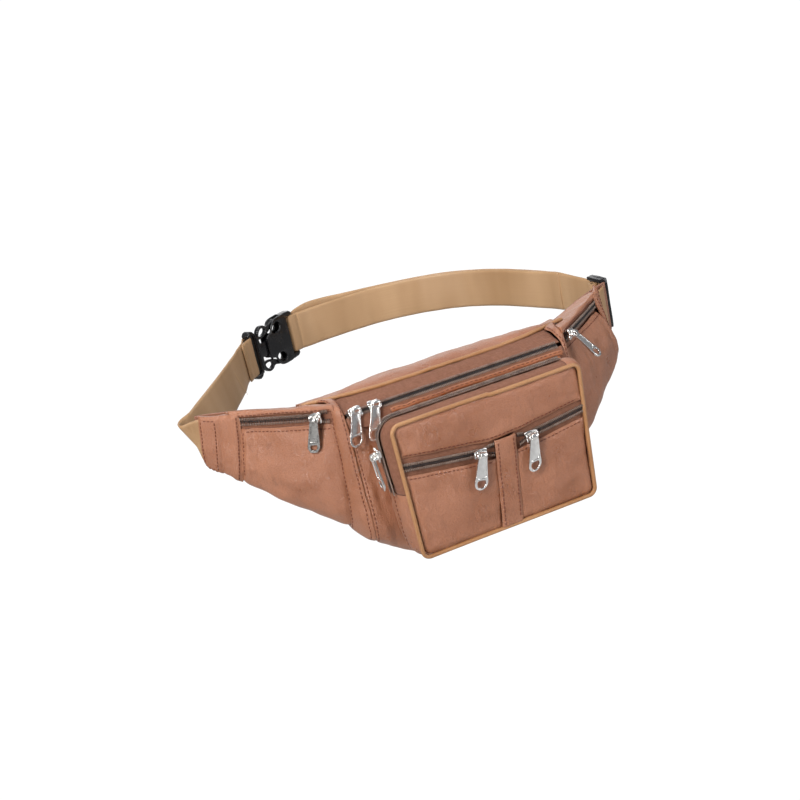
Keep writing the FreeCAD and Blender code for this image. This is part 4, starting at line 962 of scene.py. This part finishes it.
def make_gussets():
    def soft(amount, seed):
        return lambda u, v, point: (crumple(point, 16, amount, seed) + crumple(point, 6, amount * 0.4, seed)
                                    + edge_roll(u, v, (300, 15), 0.6, 1.6, "tb"))

    front = [(gusset_place(0, 2.55, ZIP_START, ZIP_END), "pocket_front_tape", TAPE, "zip_tape", 130),
             (gusset_place(0, 3.84, ZIP_END, 1 + ZIP_START), "pocket_front_gusset_leather", LEATHER,
              "leather", 150)]
    for place, name, material, slot, columns in front:
        at = surface(place, soft(0.5 if material is TAPE else 1.2, 4), out=ring_out(place))
        sheet(name, at, columns, 16, material, slot, ["pocket_front_gusset"], 1.0, (200, 13),
              close=0.1 if material is TAPE else 0.6)
    place = gusset_place(3.15, 4.35, ZIP_START, ZIP_END)
    at = surface(place, soft(0.4, 6), out=ring_out(place))
    sheet("pocket_rear_tape", at, 130, 10, TAPE, "zip_tape", [], 0.9, (200, 8), close=0.1)
    place = gusset_place(2.8, 4.9, ZIP_END - 0.01, 1.01 + ZIP_START, 2.2)
    at = surface(place, soft(0.2, 6), out=ring_out(place))
    sheet("pocket_gusset_seam_lining", at, 130, 8, LINING, "leather", [], 0.8, (200, 8), close=0.1)
    place = gusset_place(3.9, 8, 0, 1)
    at = surface(place, soft(1.5, 8), out=ring_out(place))
    sheet("pocket_rear_gusset_leather", at, 200, 20, LEATHER, "leather", ["pocket_rear_gusset"], 1.3,
          (420, 25))
    beads = Beads()
    stitch(beads, at, (ZIP_END + 0.01, 0.13), (0.80, 0), 3.6)
    stitch(beads, at, (0.60, 0.24), (0.80, 0), 3.6)
    stitch(beads, at, (0.005, 0.2), (0.07, 0), 3.6)
    stitch(beads, at, (0.86, 0.135), (0.07, 0), 3.6)
    front_at = surface(front[1][0], soft(1.2, 4), out=ring_out(front[1][0]))
    stitch(beads, front_at, (0.004, 0.22), (0.90, 0), 3.6)
    beads.finish("gusset_stitches", [THREAD], "leather")
    path, outs = [], []
    outline = GUSSET[3][1:]
    for step in range(161):
        share = ZIP_START + (ZIP_END - ZIP_START) * step / 160
        x, z = ring_point(share, *outline)
        ahead = ring_point(share + 0.002, *outline)
        out = Vector((-(ahead[1] - z), 0, ahead[0] - x)).normalized()
        if out.dot(Vector((x, 0, z + 10))) < 0:
            out = -out
        path.append((x + out.x * 0.9, -88.9, z + out.z * 0.9))
        outs.append(out)
    chain("pocket_gusset_chain", path, outs, ["pocket_gusset_zip_coil"],
          lambda run, total: 1.6 * ease((run - total + 22) / 20))


def ring_out(place):
    x, _, z = place(0.5, 0.5)
    return (x, 0, z + 8)


def piping_ring():
    path = []
    for step in range(260):
        share = step / 260
        x, z = ring_point(share, *POCKET_RING)
        lift_x, lift_z = ring_wave(share)
        path.append((x + lift_x * 0.6, -101.2 + 0.5 * math.sin(share * 18), z + lift_z * 0.5))
    sweep("pocket_piping_cord", path, circle(1.55, 14), PIPING, "piping", ["pocket_piping"], closed=True)


def chain_z(side, x):
    """Height of a front zip at a place across the pocket."""
    if side == "left":
        return 1.4 + (x + 2.4) * (11.4 - 1.4) / (-72.4 + 2.4)
    return 2.4 + (x - 17.4) * (8.6 - 2.4) / (72.2 - 17.4)


def seam_z(x):
    """Lower edge of the upper panel, over both zips and the divider between them."""
    left = chain_z("left", min(x, -6.0)) + 7.0
    right = chain_z("right", max(x, 20.0)) + 7.0
    if x <= -6:
        return left
    if x >= 20:
        return right
    return left + (right - left) * ease((x + 6) / 26)


def face_edge(z, inset=3.2):
    """Half width of the pocket's face at a height, inside its piping."""
    half_top, half_low, top, low, corner = POCKET_RING
    top, low, corner = top - inset + 1.4, low + inset - 1.4, corner - 1.5
    half = half_top - inset + 1.6 - (half_top - half_low) * (top - z) / (top - low)
    for bound, sign in ((top - corner, 1), (low + corner, -1)):
        over = sign * (z - bound)
        if over > 0:
            half -= corner - math.sqrt(max(corner ** 2 - min(over, corner) ** 2, 0))
    return half


def face_y(x, z):
    round_x = 1 - (abs(x) / 76) ** 3
    round_z = 1 - (abs(z + 9) / 54) ** 3
    return -100.9 - 1.7 * max(round_x, 0) ** 0.6 * max(round_z, 0) ** 0.6


def make_pocket_front():
    top, low = 42.6, -60.4

    def upper(u, v):
        x = (2 * u - 1) * 73.8
        z = top + (seam_z(x) - top) * v
        x *= face_edge(z) / 73.8
        return (x, face_y(x, z), z)

    def soft(size, seed, fat, sides="lrtb"):
        def swell(u, v, point):
            return (fat * dome(u, v, 0.5) + crumple(point, 26, 1.5, seed) + crumple(point, 9, 0.6, seed + 2)
                    + edge_roll(u, v, size, 1.1, 2.4, sides))
        return swell

    at = surface(upper, soft((148, 30), 1, 1.3))
    sheet("pocket_upper_leather", at, 100, 36, LEATHER, "leather", ["pocket_upper_panel"], 1.2, (148, 30))
    beads = Beads()
    stitch(beads, at, (0.02, 0.96), (0.925, 0), 3.3)

    def divider_x(z, edge):
        return 0.8 + (7 - 0.8) * (z - low) / (8.6 - low) + edge * 8.7

    def lower_left(u, v):
        start, end = -72.5, divider_x(1, -1) + 1.6
        x = start + (end - start) * u
        z = chain_z("left", x) - 7.2
        z += (low - z) * v
        x = lerp([-face_edge(z)], [divider_x(z, -1) + 1.6], u)[0]
        return (x, face_y(x, z), z)

    def lower_right(u, v):
        start, end = divider_x(1, 1) - 1.6, 73.5
        x = start + (end - start) * u
        z = chain_z("right", x) - 7.2
        z += (low - z) * v
        x = lerp([divider_x(z, 1) - 1.6], [face_edge(z)], u)[0]
        return (x, face_y(x, z), z)

    for side, place, seed in (("left", lower_left, 5), ("right", lower_right, 8)):
        at = surface(place, soft((68, 62), seed, 1.4))
        sheet("pocket_%s_leather" % side, at, 56, 50, LEATHER, "leather", ["pocket_%s_panel" % side], 1.2,
              (68, 62))
        stitch(beads, at, (0.02, 0.96), (0.035, 0), 3.3)

    def middle(u, v):
        z = seam_z(6) - 0.6 + (low - seam_z(6) + 0.6) * v
        x = divider_x(z, 2 * u - 1)
        return (x, face_y(x, z) - 0.9, z)

    at = surface(middle, lambda u, v, point: 0.5 * dome(u, v, 0.4) + crumple(point, 12, 0.7, 3)
                 + edge_roll(u, v, (17, 70), 0.7, 1.3, "lr"))
    sheet("pocket_divider_leather", at, 20, 60, LEATHER, "leather", ["pocket_divider"], 1.6, (17, 70))
    for edge in (0.13, 0.87):
        stitch(beads, at, (edge, 0), (0.03, 0.95), 3.3)
    beads.finish("pocket_front_stitches", [THREAD], "leather")

    for side, start, end in (("left", -74.2, -0.6), ("right", 14.6, 74.6)):
        def place(u, v, side=side, start=start, end=end):
            x = start + (end - start) * u
            z = chain_z(side, x) + 8.6 - 17.4 * v
            return (x, -99.3 - 0.5 * math.sin(math.pi * v), z)

        at = surface(place, lambda u, v, point: crumple(point, 6, 0.35, 5))
        sheet("front_%s_tape" % side, at, 50, 18, TAPE, "zip_tape", ["front_%s_zip_tape" % side], 0.7,
              (abs(end - start), 17.4), close=0.1)
    for side, start, end, slider in (("left", -73.4, -0.9, -14.5), ("right", 73.4, 16.2, 27.5)):
        path = []
        for step in range(81):
            x = start + (end - start) * step / 80
            path.append((x, -100.9, chain_z(side, x) - 0.4 * math.sin(step / 80 * math.pi)))
        reach = abs(slider - start)
        chain("front_%s_chain" % side, path, Vector((0, -1, 0)), ["front_%s_zip_coil" % side],
              lambda run, total, reach=reach: 2.1 * ease((run - reach - 1) / (total - reach - 2)))


make_main_front()
make_bands()
for wing_side, wing_sign, wing_slider in (("left", -1, 16.5), ("right", 1, 12.5)):
    make_wing_leather(wing_side, wing_sign)
    make_wing_zip(wing_side, wing_sign, wing_slider)
    make_tab(wing_side, wing_sign, 0.0 if wing_side == "left" else 1.0)
make_back()
make_top()
make_main_zip()
make_gussets()
piping_ring()
make_pocket_front()


# ---------------------------------------------------------------- webbing
def strap(name, centres, tops, nodes, step=1.6, body=PACK):
    """Webbing through the centres, its width turned toward the given directions."""
    count = max(int(sum((Vector(b) - Vector(a)).length for a, b in zip(centres, centres[1:])) / step), 8)
    path, guides = [], []
    for index in range(count + 1):
        share = index / count
        path.append(Vector(along(centres, share)))
        guides.append(Vector(along(tops, share)).normalized())
    half, thick = 17.9, 0.8
    section = []
    for number in range(17):
        across = -half + 2 * half * number / 16
        edge = 1 - math.exp(-(half - abs(across)) / 0.5) * 0.5
        section.append((thick * edge, across))
    section += [(-a, b) for a, b in reversed(section)]
    axes = []
    for index, (tangent, _, _) in enumerate(frames(path)):
        up = (guides[index] - tangent * guides[index].dot(tangent)).normalized()
        axes.append((tangent.cross(up), up))
    points, flow, run = [], [], 0.0
    for index, centre in enumerate(path):
        if index:
            run += (centre - path[index - 1]).length
        side, up = axes[index]
        ripple = crumple((run, 0, 0), 16, 0.5)
        for a, b in section:
            points.append(centre + side * (a + ripple + crumple((run, b, 3), 20, 0.35)) + up * b)
            flow.append((run, b, 0))
    around = len(section)
    faces = []
    for index in range(count):
        for turn in range(around):
            following = (turn + 1) % around
            faces.append((index * around + turn, index * around + following,
                          (index + 1) * around + following, (index + 1) * around + turn))
    faces.append(tuple(range(around))[::-1])
    faces.append(tuple(count * around + turn for turn in range(around)))
    made = write_mesh(name, points, faces, [WEB], flow)
    return settle(made, "webbing", nodes, body)


def buckle_place(run):
    turn = math.radians(BUCKLE_TURN)
    return (BUCKLE_AT[0] + run * math.cos(turn), BUCKLE_AT[1] + run * math.sin(turn), STRAP_Z)


UP = (0, 0, 1)


def bar_turn(bar, way, side, radius=3.7):
    """Webbing laid round a buckle's bar: down one side, round it and back on the other."""
    points = [bar + way * 4.5 + side * 2.7]
    for step in range(9):
        angle = math.pi / 2 - math.pi * step / 8
        points.append(bar + side * (radius * math.sin(angle)) - way * (radius * math.cos(angle)))
    return points + [bar + way * 4.5 - side * 2.7]


def make_left_strap():
    bar = Vector(buckle_place(BAR_IN))
    fold = Vector((-188, 42.4, STRAP_Z))
    way = (fold - bar).normalized()
    side = Vector((-way.y, way.x, 0))
    if side.x > 0:
        side = -side
    run = [(-165, 25.0, 29), (-173, 31.8, 29), (-180.5, 37.2, 29), (-186.4, 40.4, 29), (-189.0, 42.6, 29),
           (-189.0, 46.0, 29), (-186.4, 52.0, 29)]
    for share in (0.12, 0.28, 0.44, 0.60, 0.76):
        place = fold.lerp(bar, share) + side * (1.2 - 2.0 * math.sin(math.pi * share))
        run.append(tuple(place))
    centres = run + [bar + way * 22 + side * 1.3, bar + way * 12 + side * 1.4] + bar_turn(bar, way, side)
    centres += [bar + way * 9 - side * 1.5, bar + way * 14 - side * 1.1, bar + way * 19 - side * 0.9]
    tops = [UP, UP, (-0.12, 0, 1), (-0.36, 0, 1), (-0.46, -0.05, 1), (-0.50, -0.1, 1), (-0.50, -0.14, 1),
            (-0.46, -0.13, 1), (-0.36, -0.1, 1), (-0.26, -0.06, 1), (-0.16, -0.03, 1), (-0.08, 0, 1)]
    tops += [UP] * (len(centres) - len(tops))
    strap("left_strap_webbing", centres, tops, ["left_strap", "left_strap_loop"], 0.9)
    beads = Beads()
    for back, gap in ((17.6, 1.9), (15.6, 2.2), (58.0, 1.9)):
        if back > 50:
            place = fold.lerp(bar, 1 - back / (fold - bar).length) - side * 1.9
            lean = Vector((-0.30, -0.08, 1)).normalized()
        else:
            place, lean = bar + way * back - side * gap, Vector(UP)
        for step in range(25):
            across = lean * (-17.2 + 34.4 * step / 24)
            beads.add(place + across, lean, way, (0.62, 0.24, 0.24))
    beads.finish("left_strap_hems", [PALE_THREAD], "webbing")


BELT = [(177.4, 113.0), (166, 147), (150, 182), (123, 216), (94, 237), (54, 250), (12, 253.5)]


def make_belt():
    bar = Vector(buckle_place(BUCKLE_LONG - BAR_IN))
    way = (Vector((-14, 252.5, STRAP_Z)) - bar).normalized()
    side = Vector((-way.y, way.x, 0))
    spine = BELT + [(-14, 252.5), tuple((bar + way * 16).xy), tuple((bar + way * 8).xy)]
    dense = [tuple(along(spine, step / 34)) for step in range(35)]

    def shifted(points, off, rise):
        result = []
        for index, (x, y) in enumerate(points):
            ahead, behind = points[min(index + 1, len(points) - 1)], points[max(index - 1, 0)]
            run = Vector((ahead[0] - behind[0], ahead[1] - behind[1])).normalized()
            share = index / (len(points) - 1)
            lift = rise * math.exp(-((share - 0.83) / 0.15) ** 2)
            bow = off + math.copysign(1.2, off) * math.sin(share * 11) ** 2 * min(4 * share * (1 - share),
                                                                                  1)
            if off > 0:
                bow = -1.2 + (bow + 1.2) * ease(share / 0.16)
            result.append((x - run.y * bow, y + run.x * bow, STRAP_Z + lift))
        return result

    root = [(167.0, 29.0), (174, 34.4), (179.6, 39.6), (182.2, 46), (182.2, 54), (180.8, 78)]
    outer = shifted(root + dense, -1.3, 5.0)
    inner = shifted(dense, 1.3, -0.6)
    if side.dot(Vector(outer[-1]) - Vector(inner[-1])) < 0:
        side = -side
    line = outer + bar_turn(bar, way, side) + inner[::-1]
    strap("belt_webbing", line, [UP] * len(line), ["belt_outer_layer", "belt_inner_layer",
                                                   "belt_buckle_loop"], 1.3)


make_left_strap()
make_belt()


# ---------------------------------------------------------------- hard parts
class Casting:
    """Plates with rounded rims, gathered into one mesh in the row's frame."""

    def __init__(self):
        self.points, self.faces = [], []

    def plate(self, loops, half, rim, move, segments=3):
        line = bpy.data.curves.new("plate", "CURVE")
        line.dimensions, line.fill_mode = "2D", "BOTH"
        line.extrude, line.bevel_depth, line.offset = max(half - rim, 0.0), rim, -rim
        line.bevel_resolution = segments
        for loop in loops:
            spline = line.splines.new("POLY")
            spline.points.add(len(loop) - 1)
            for point, (x, y) in zip(spline.points, loop):
                point.co = (x, y, 0, 1)
            spline.use_cyclic_u = True
        holder = bpy.data.objects.new("plate", line)
        bpy.context.collection.objects.link(holder)
        mesh = bpy.data.meshes.new_from_object(holder.evaluated_get(bpy.context.evaluated_depsgraph_get()))
        start = len(self.points)
        self.points += [move(*vertex.co) for vertex in mesh.vertices]
        self.faces += [tuple(start + index for index in face.vertices) for face in mesh.polygons]
        bpy.data.objects.remove(holder)
        bpy.data.curves.remove(line)
        bpy.data.meshes.remove(mesh)

    def rod(self, path, section, guide):
        around = len(section)
        start = len(self.points)
        for centre, (_, side, up) in zip(path, frames(path, guide=guide)):
            self.points += [Vector(centre) + side * a + up * b for a, b in section]
        for index in range(len(path) - 1):
            for turn in range(around):
                following = (turn + 1) % around
                a, b = start + index * around, start + (index + 1) * around
                self.faces.append((a + turn, a + following, b + following, b + turn))
        self.faces.append(tuple(start + turn for turn in reversed(range(around))))
        last = start + (len(path) - 1) * around
        self.faces.append(tuple(last + turn for turn in range(around)))

    def finish(self, name, material, slot, nodes, body, angle=38):
        made = write_mesh(name, self.points, self.faces, [material])
        shape = bmesh.new()
        shape.from_mesh(made.data)
        bmesh.ops.remove_doubles(shape, verts=shape.verts, dist=0.004 * MM)
        bmesh.ops.recalc_face_normals(shape, faces=shape.faces)
        shape.to_mesh(made.data)
        shape.free()
        made.data.polygons.foreach_set("use_smooth", [True] * len(made.data.polygons))
        made.data.set_sharp_from_angle(angle=math.radians(angle))
        return settle(made, slot, nodes, body)


def round_loop(points, each=5):
    """Closed smooth line through the points."""
    count = len(points)
    result = []
    for index in range(count):
        four = [points[(index + step) % count] for step in (-1, 0, 1, 2)]
        for part in range(each):
            result.append(tuple(along(four, (1 + part / each) / 3)))
    return result


def twofold(points, across_axis=0):
    """Outline completed by its mirror image about the other axis."""
    flip = (-1, 1) if across_axis == 0 else (1, -1)
    return points + [(x * flip[0], y * flip[1]) for x, y in reversed(points)]


def row_joint(name):
    return next(joint for joint in frame["joints"] if joint["name"] == name)


def middle_of(node):
    spots = [vertex.co for vertex in frame["nodes"][node].data.vertices]
    low = Vector([min(spot[axis] for spot in spots) for axis in range(3)])
    high = Vector([max(spot[axis] for spot in spots) for axis in range(3)])
    return (low + high) / 2 / MM


def make_pull(name, material, hexed):
    joint = row_joint(name + "_swing")
    pivot = Vector(joint["pos_m"]) / MM
    across = -Vector(joint["axis"]).normalized()
    spots = [vertex.co / MM - pivot for vertex in frame["nodes"][name + "_pull"].data.vertices]
    far = max(spots, key=lambda spot: (spot - across * spot.dot(across)).length)
    down = (far - across * far.dot(across)).normalized()
    depth = max(spot.dot(down) for spot in spots)
    tips = [spot for spot in spots if spot.dot(down) > depth - 0.6]
    lean = sum(spot.dot(across) for spot in tips) / len(tips) / depth
    face = across.cross(-down)

    def move(x, y, z):
        return pivot + across * (x + lean * -y) + down * -y + face * z

    long, wide = PULL_LONG, 5.3
    side = [(2.4, 0.6), (3.15, -0.4), (3.5, -3.0), (4.0, -9.0), (4.7, -16.0)]
    if hexed:
        tail = [(5.0, -20.0), (5.1, -22.6), (2.7, -long), (1.2, -long)]
        eye = [(2.7, -20.2), (2.9, -22.2), (1.5, -24.4)]
    else:
        tail = [(wide, -20.0)] + [
            (wide * math.cos(angle), -long + wide - wide * math.sin(angle)) for angle in (0.3, 0.75, 1.2,
                                                                                          1.45)]
        eye = [(2.3, -19.2), (3.3, -20.4), (3.2, -22.2), (2.2, -24.2), (0.9, -25.0)]
    outer = twofold(side + tail)
    hole = twofold(eye)
    window = twofold([(1.2, -3.6), (2.2, -4.0), (2.55, -6.0), (3.1, -12.0), (3.4, -16.2), (2.4, -17.4),
                      (1.0, -17.7)])
    if not hexed:
        outer, hole = round_loop(outer, 3), round_loop(hole, 3)
    window = round_loop(window, 3)
    cast = Casting()
    cast.plate([outer, hole], 0.42, 0.14, move, 1)
    cast.plate([outer, hole, window], 0.85, 0.30, move, 2)
    ring = circle(2.45, 20)
    bore = [(x * 0.67, y * 0.67) for x, y in ring]
    cast.plate([ring, bore], 2.2, 0.5, lambda x, y, z: pivot + across * z + down * x + face * y, 2)
    cast.finish(name + "_pull_tab", material, "nickel", [name + "_pull"], name + "_pull")


def make_slider(name, material):
    run = Vector(row_joint(name + "_slide")["axis"]).normalized()
    joint = row_joint(name + "_swing")
    pivot = Vector(joint["pos_m"]) / MM
    bar = Vector(joint["axis"]).normalized()
    out = pivot - middle_of(name + "_slider")
    out = (out - run * out.dot(run) - bar * out.dot(bar)).normalized()
    seat = pivot - out * 6.0
    nose = run
    if name == "main_left":
        nose = -run
    side = nose.cross(out)

    def move(x, y, z):
        return seat + nose * -x + side * y + out * z

    cast = Casting()
    body = round_loop(twofold([(-5.0, 1.6), (-4.6, 2.5), (-2.2, 3.6), (0.6, 4.3), (3.6, 4.4), (5.1, 3.6),
                               (5.3, 2.2),
                               (4.5, 0.7)], 1), 4)
    cast.plate([body], 0.85, 0.45, lambda x, y, z: move(x, y, z + 2.15), 3)
    for sign in (-1, 1):
        flange = [(-1.0, sign * 3.3), (4.6, sign * 3.5), (4.6, sign * 4.35), (-0.6, sign * 4.2)]
        cast.plate([flange], 0.75, 0.25, lambda x, y, z: move(x, y, z + 0.85), 2)
    arch = [(-4.0, 2.4), (-4.15, 4.4), (-3.7, 5.9), (-2.6, 6.5), (0, 6.65), (2.6, 6.5), (3.7, 5.9),
            (4.15, 4.4),
            (4.0, 2.4)]
    path = [seat + bar * x + out * z for x, z in (along(arch, step / 24) for step in range(25))]
    section = [(1.25 * math.cos(angle), 0.66 * math.sin(angle)) for angle in
               (2 * math.pi * step / 12 for step in range(12))]
    cast.rod(path, section, out.cross(bar).cross(out))
    for end in (-1, 1):
        foot = [(x + end * 3.4, y) for x, y in circle(1.9, 14)]
        cast.plate([foot], 0.5, 0.4, lambda x, y,
                   z: seat + bar * x + bar.cross(out) * y + out * (z + 3.2), 2)
    cast.finish(name + "_slider_shell", material, "nickel", [name + "_slider"], name + "_slider")


def buckle_move(x, y, z):
    turn = math.radians(BUCKLE_TURN)
    return Vector((BUCKLE_AT[0] + x * math.cos(turn) + z * math.sin(turn),
                   BUCKLE_AT[1] + x * math.sin(turn) - z * math.cos(turn), STRAP_Z + y))


def make_buckle():
    male = Casting()
    horns = [(0.8, 18.2), (0.4, 20.2), (2.4, 22.6), (5.4, 23.3), (8.2, 22.2), (10.6, 19.4), (12.6, 16.6),
             (14.2, 13.6),
             (15.2, 9.0)]
    rim = horns + [(x, -y) for x, y in reversed(horns)]
    inner = [(9.2, 17.6), (8.0, 18.2)]
    male.plate([rim + [(x, -y) for x, y in reversed(inner)] + inner], 4.2, 1.6, buckle_move, 4)
    male.plate([twofold([(0.6, 18.6), (3.3, 18.6)], 1)], 1.5, 0.6, buckle_move, 3)
    tongue = round_loop(twofold([(13, 5.5), (24, 6.6), (36, 6.8), (42, 6.4), (45.2, 4.4)], 1), 3)
    male.plate([tongue], 2.0, 0.7, buckle_move, 2)
    male.finish("buckle_male_shell", BLACK, "black_plastic", ["buckle_male"], PACK)

    female = Casting()
    body = round_loop(twofold([(24.4, 5), (24.8, 9.6), (28.0, 11.4), (31.4, 12.6), (33.4, 16.4),
                               (36.4, 20.8), (41, 22.6),
                               (49, 23.0), (54, 22.6), (56.4, 19), (56.8, 9)], 1), 3)
    eyes = []
    for sign in (-1, 1):
        eyes.append(round_loop([(33.8, sign * 12.4), (36.6, sign * 17.2), (42.2, sign * 19.4),
                                (46.6, sign * 16.4),
                                (44.0, sign * 11.2), (37.6, sign * 9.8)], 4))
    for level in (-3.5, 3.5):
        female.plate([body] + eyes, 1.1, 0.85, lambda x, y, z, level=level: buckle_move(x, y, z + level), 3)
    back = round_loop(twofold([(50.6, 10), (50.4, 20.0), (53.0, 22.2), (56.6, 20.0), (57.2, 9)], 1), 3)
    female.plate([back], 3.6, 0.9, buckle_move, 3)
    for sign in (-1, 1):
        rail = [(52, sign * 18.6), (52, sign * 22.6), (57, sign * 23.0), (63.4, sign * 22.6),
                (66.0, sign * 20.6),
                (65.8, sign * 18.4)]
        female.plate([rail], 4.2, 1.3, buckle_move, 3)
    female.plate([twofold([(62.7, 18.8), (65.4, 18.8)], 1)], 1.5, 0.6, buckle_move, 3)
    female.finish("buckle_female_shell", BLACK, "black_plastic", ["buckle_female"], PACK)

    for name, sign in (("upper", 1), ("lower", -1)):
        arm = Casting()
        outer = [(14.8, 11.4), (15.0, 15.0), (17.0, 19.6), (21.2, 22.2), (26.0, 21.8), (30.0, 19.2),
                 (34.8, 20.2),
                 (40.6, 22.0), (44.2, 21.0), (44.2, 17.8), (37.6, 16.6), (31.4, 13.6), (25.4, 11.8),
                 (19.4, 11.0)]
        eye = [(17.2, 14.0), (19.4, 18.2), (23.6, 19.8), (27.8, 17.6), (26.4, 14.6), (21.6, 13.2)]
        arm.plate([round_loop([(x, sign * y) for x, y in outer], 3),
                   round_loop([(x, sign * y) for x, y in eye], 3)],
                  2.2, 0.85, buckle_move, 3)
        arm.finish("buckle_arm_%s_shell" % name, BLACK, "black_plastic", ["buckle_arm_" + name],
                   "buckle_arm_" + name)


def make_adjuster():
    way = Vector(row_joint("strap_adjuster_slide")["axis"]).normalized()
    out = Vector((way.y, -way.x, 0))
    low, high = (Vector(corner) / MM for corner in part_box("strap_adjuster"))
    centre = middle_of("strap_adjuster") + out * 2.0
    half_long, half_high = 11.0, (high.z - low.z) / 2

    def move(x, y, z):
        return centre + way * x + Vector((0, 0, y)) + out * z

    cast = Casting()
    outline = round_loop([(x * (half_long - 0.2), y * (half_high - 0.2)) for x, y in
                          ((-1, -0.9), (-1, 0), (-1, 0.9), (-0.7, 1), (0.7, 1), (1, 0.9), (1, 0),
                           (1, -0.9), (0.7, -1),
                           (-0.7, -1))], 3)
    slots = [[(x * sign, y) for x, y in ((2.2, -18.6), (7.4, -18.6), (7.4, 18.6),
                                         (2.2, 18.6))] for sign in (-1, 1)]
    cast.plate([outline] + slots, 1.7, 0.8, lambda x, y, z: move(x, y, z + 1.6), 3)
    for sign in (-1, 1):
        rail = [(-9.6, sign * (half_high - 3.4)), (9.6, sign * (half_high - 3.4)),
                (9.6, sign * (half_high - 0.3)),
                (-9.6, sign * (half_high - 0.3))]
        cast.plate([rail], 3.1, 1.1, lambda x, y, z: move(x, y, z - 1.0), 3)
    cast.finish("strap_adjuster_shell", BLACK, "black_plastic", ["strap_adjuster"], "strap_adjuster")


def dress(node, material, bevel=0.25, segments=2):
    """Finish and softened edges for a hard part that keeps its own shape."""
    made = frame["nodes"][node]
    for place in made.material_slots:
        place.material = material
    if not made.material_slots:
        made.data.materials.append(material)
    rim = made.modifiers.new("rim", "BEVEL")
    rim.width = bevel * MM
    rim.segments = segments
    rim.limit_method = "ANGLE"
    rim.angle_limit = math.radians(32)


for zip_name in ("main_left", "main_right", "left_wing", "right_wing", "pocket_side", "front_left",
                 "front_right"):
    make_slider(zip_name, NICKEL)
    make_pull(zip_name, DARK_NICKEL if zip_name == "left_wing" else NICKEL,
              zip_name in ("left_wing", "pocket_side"))
make_buckle()
make_adjuster()
dress("adjuster_web_loop", WEB, 0.2, 2)
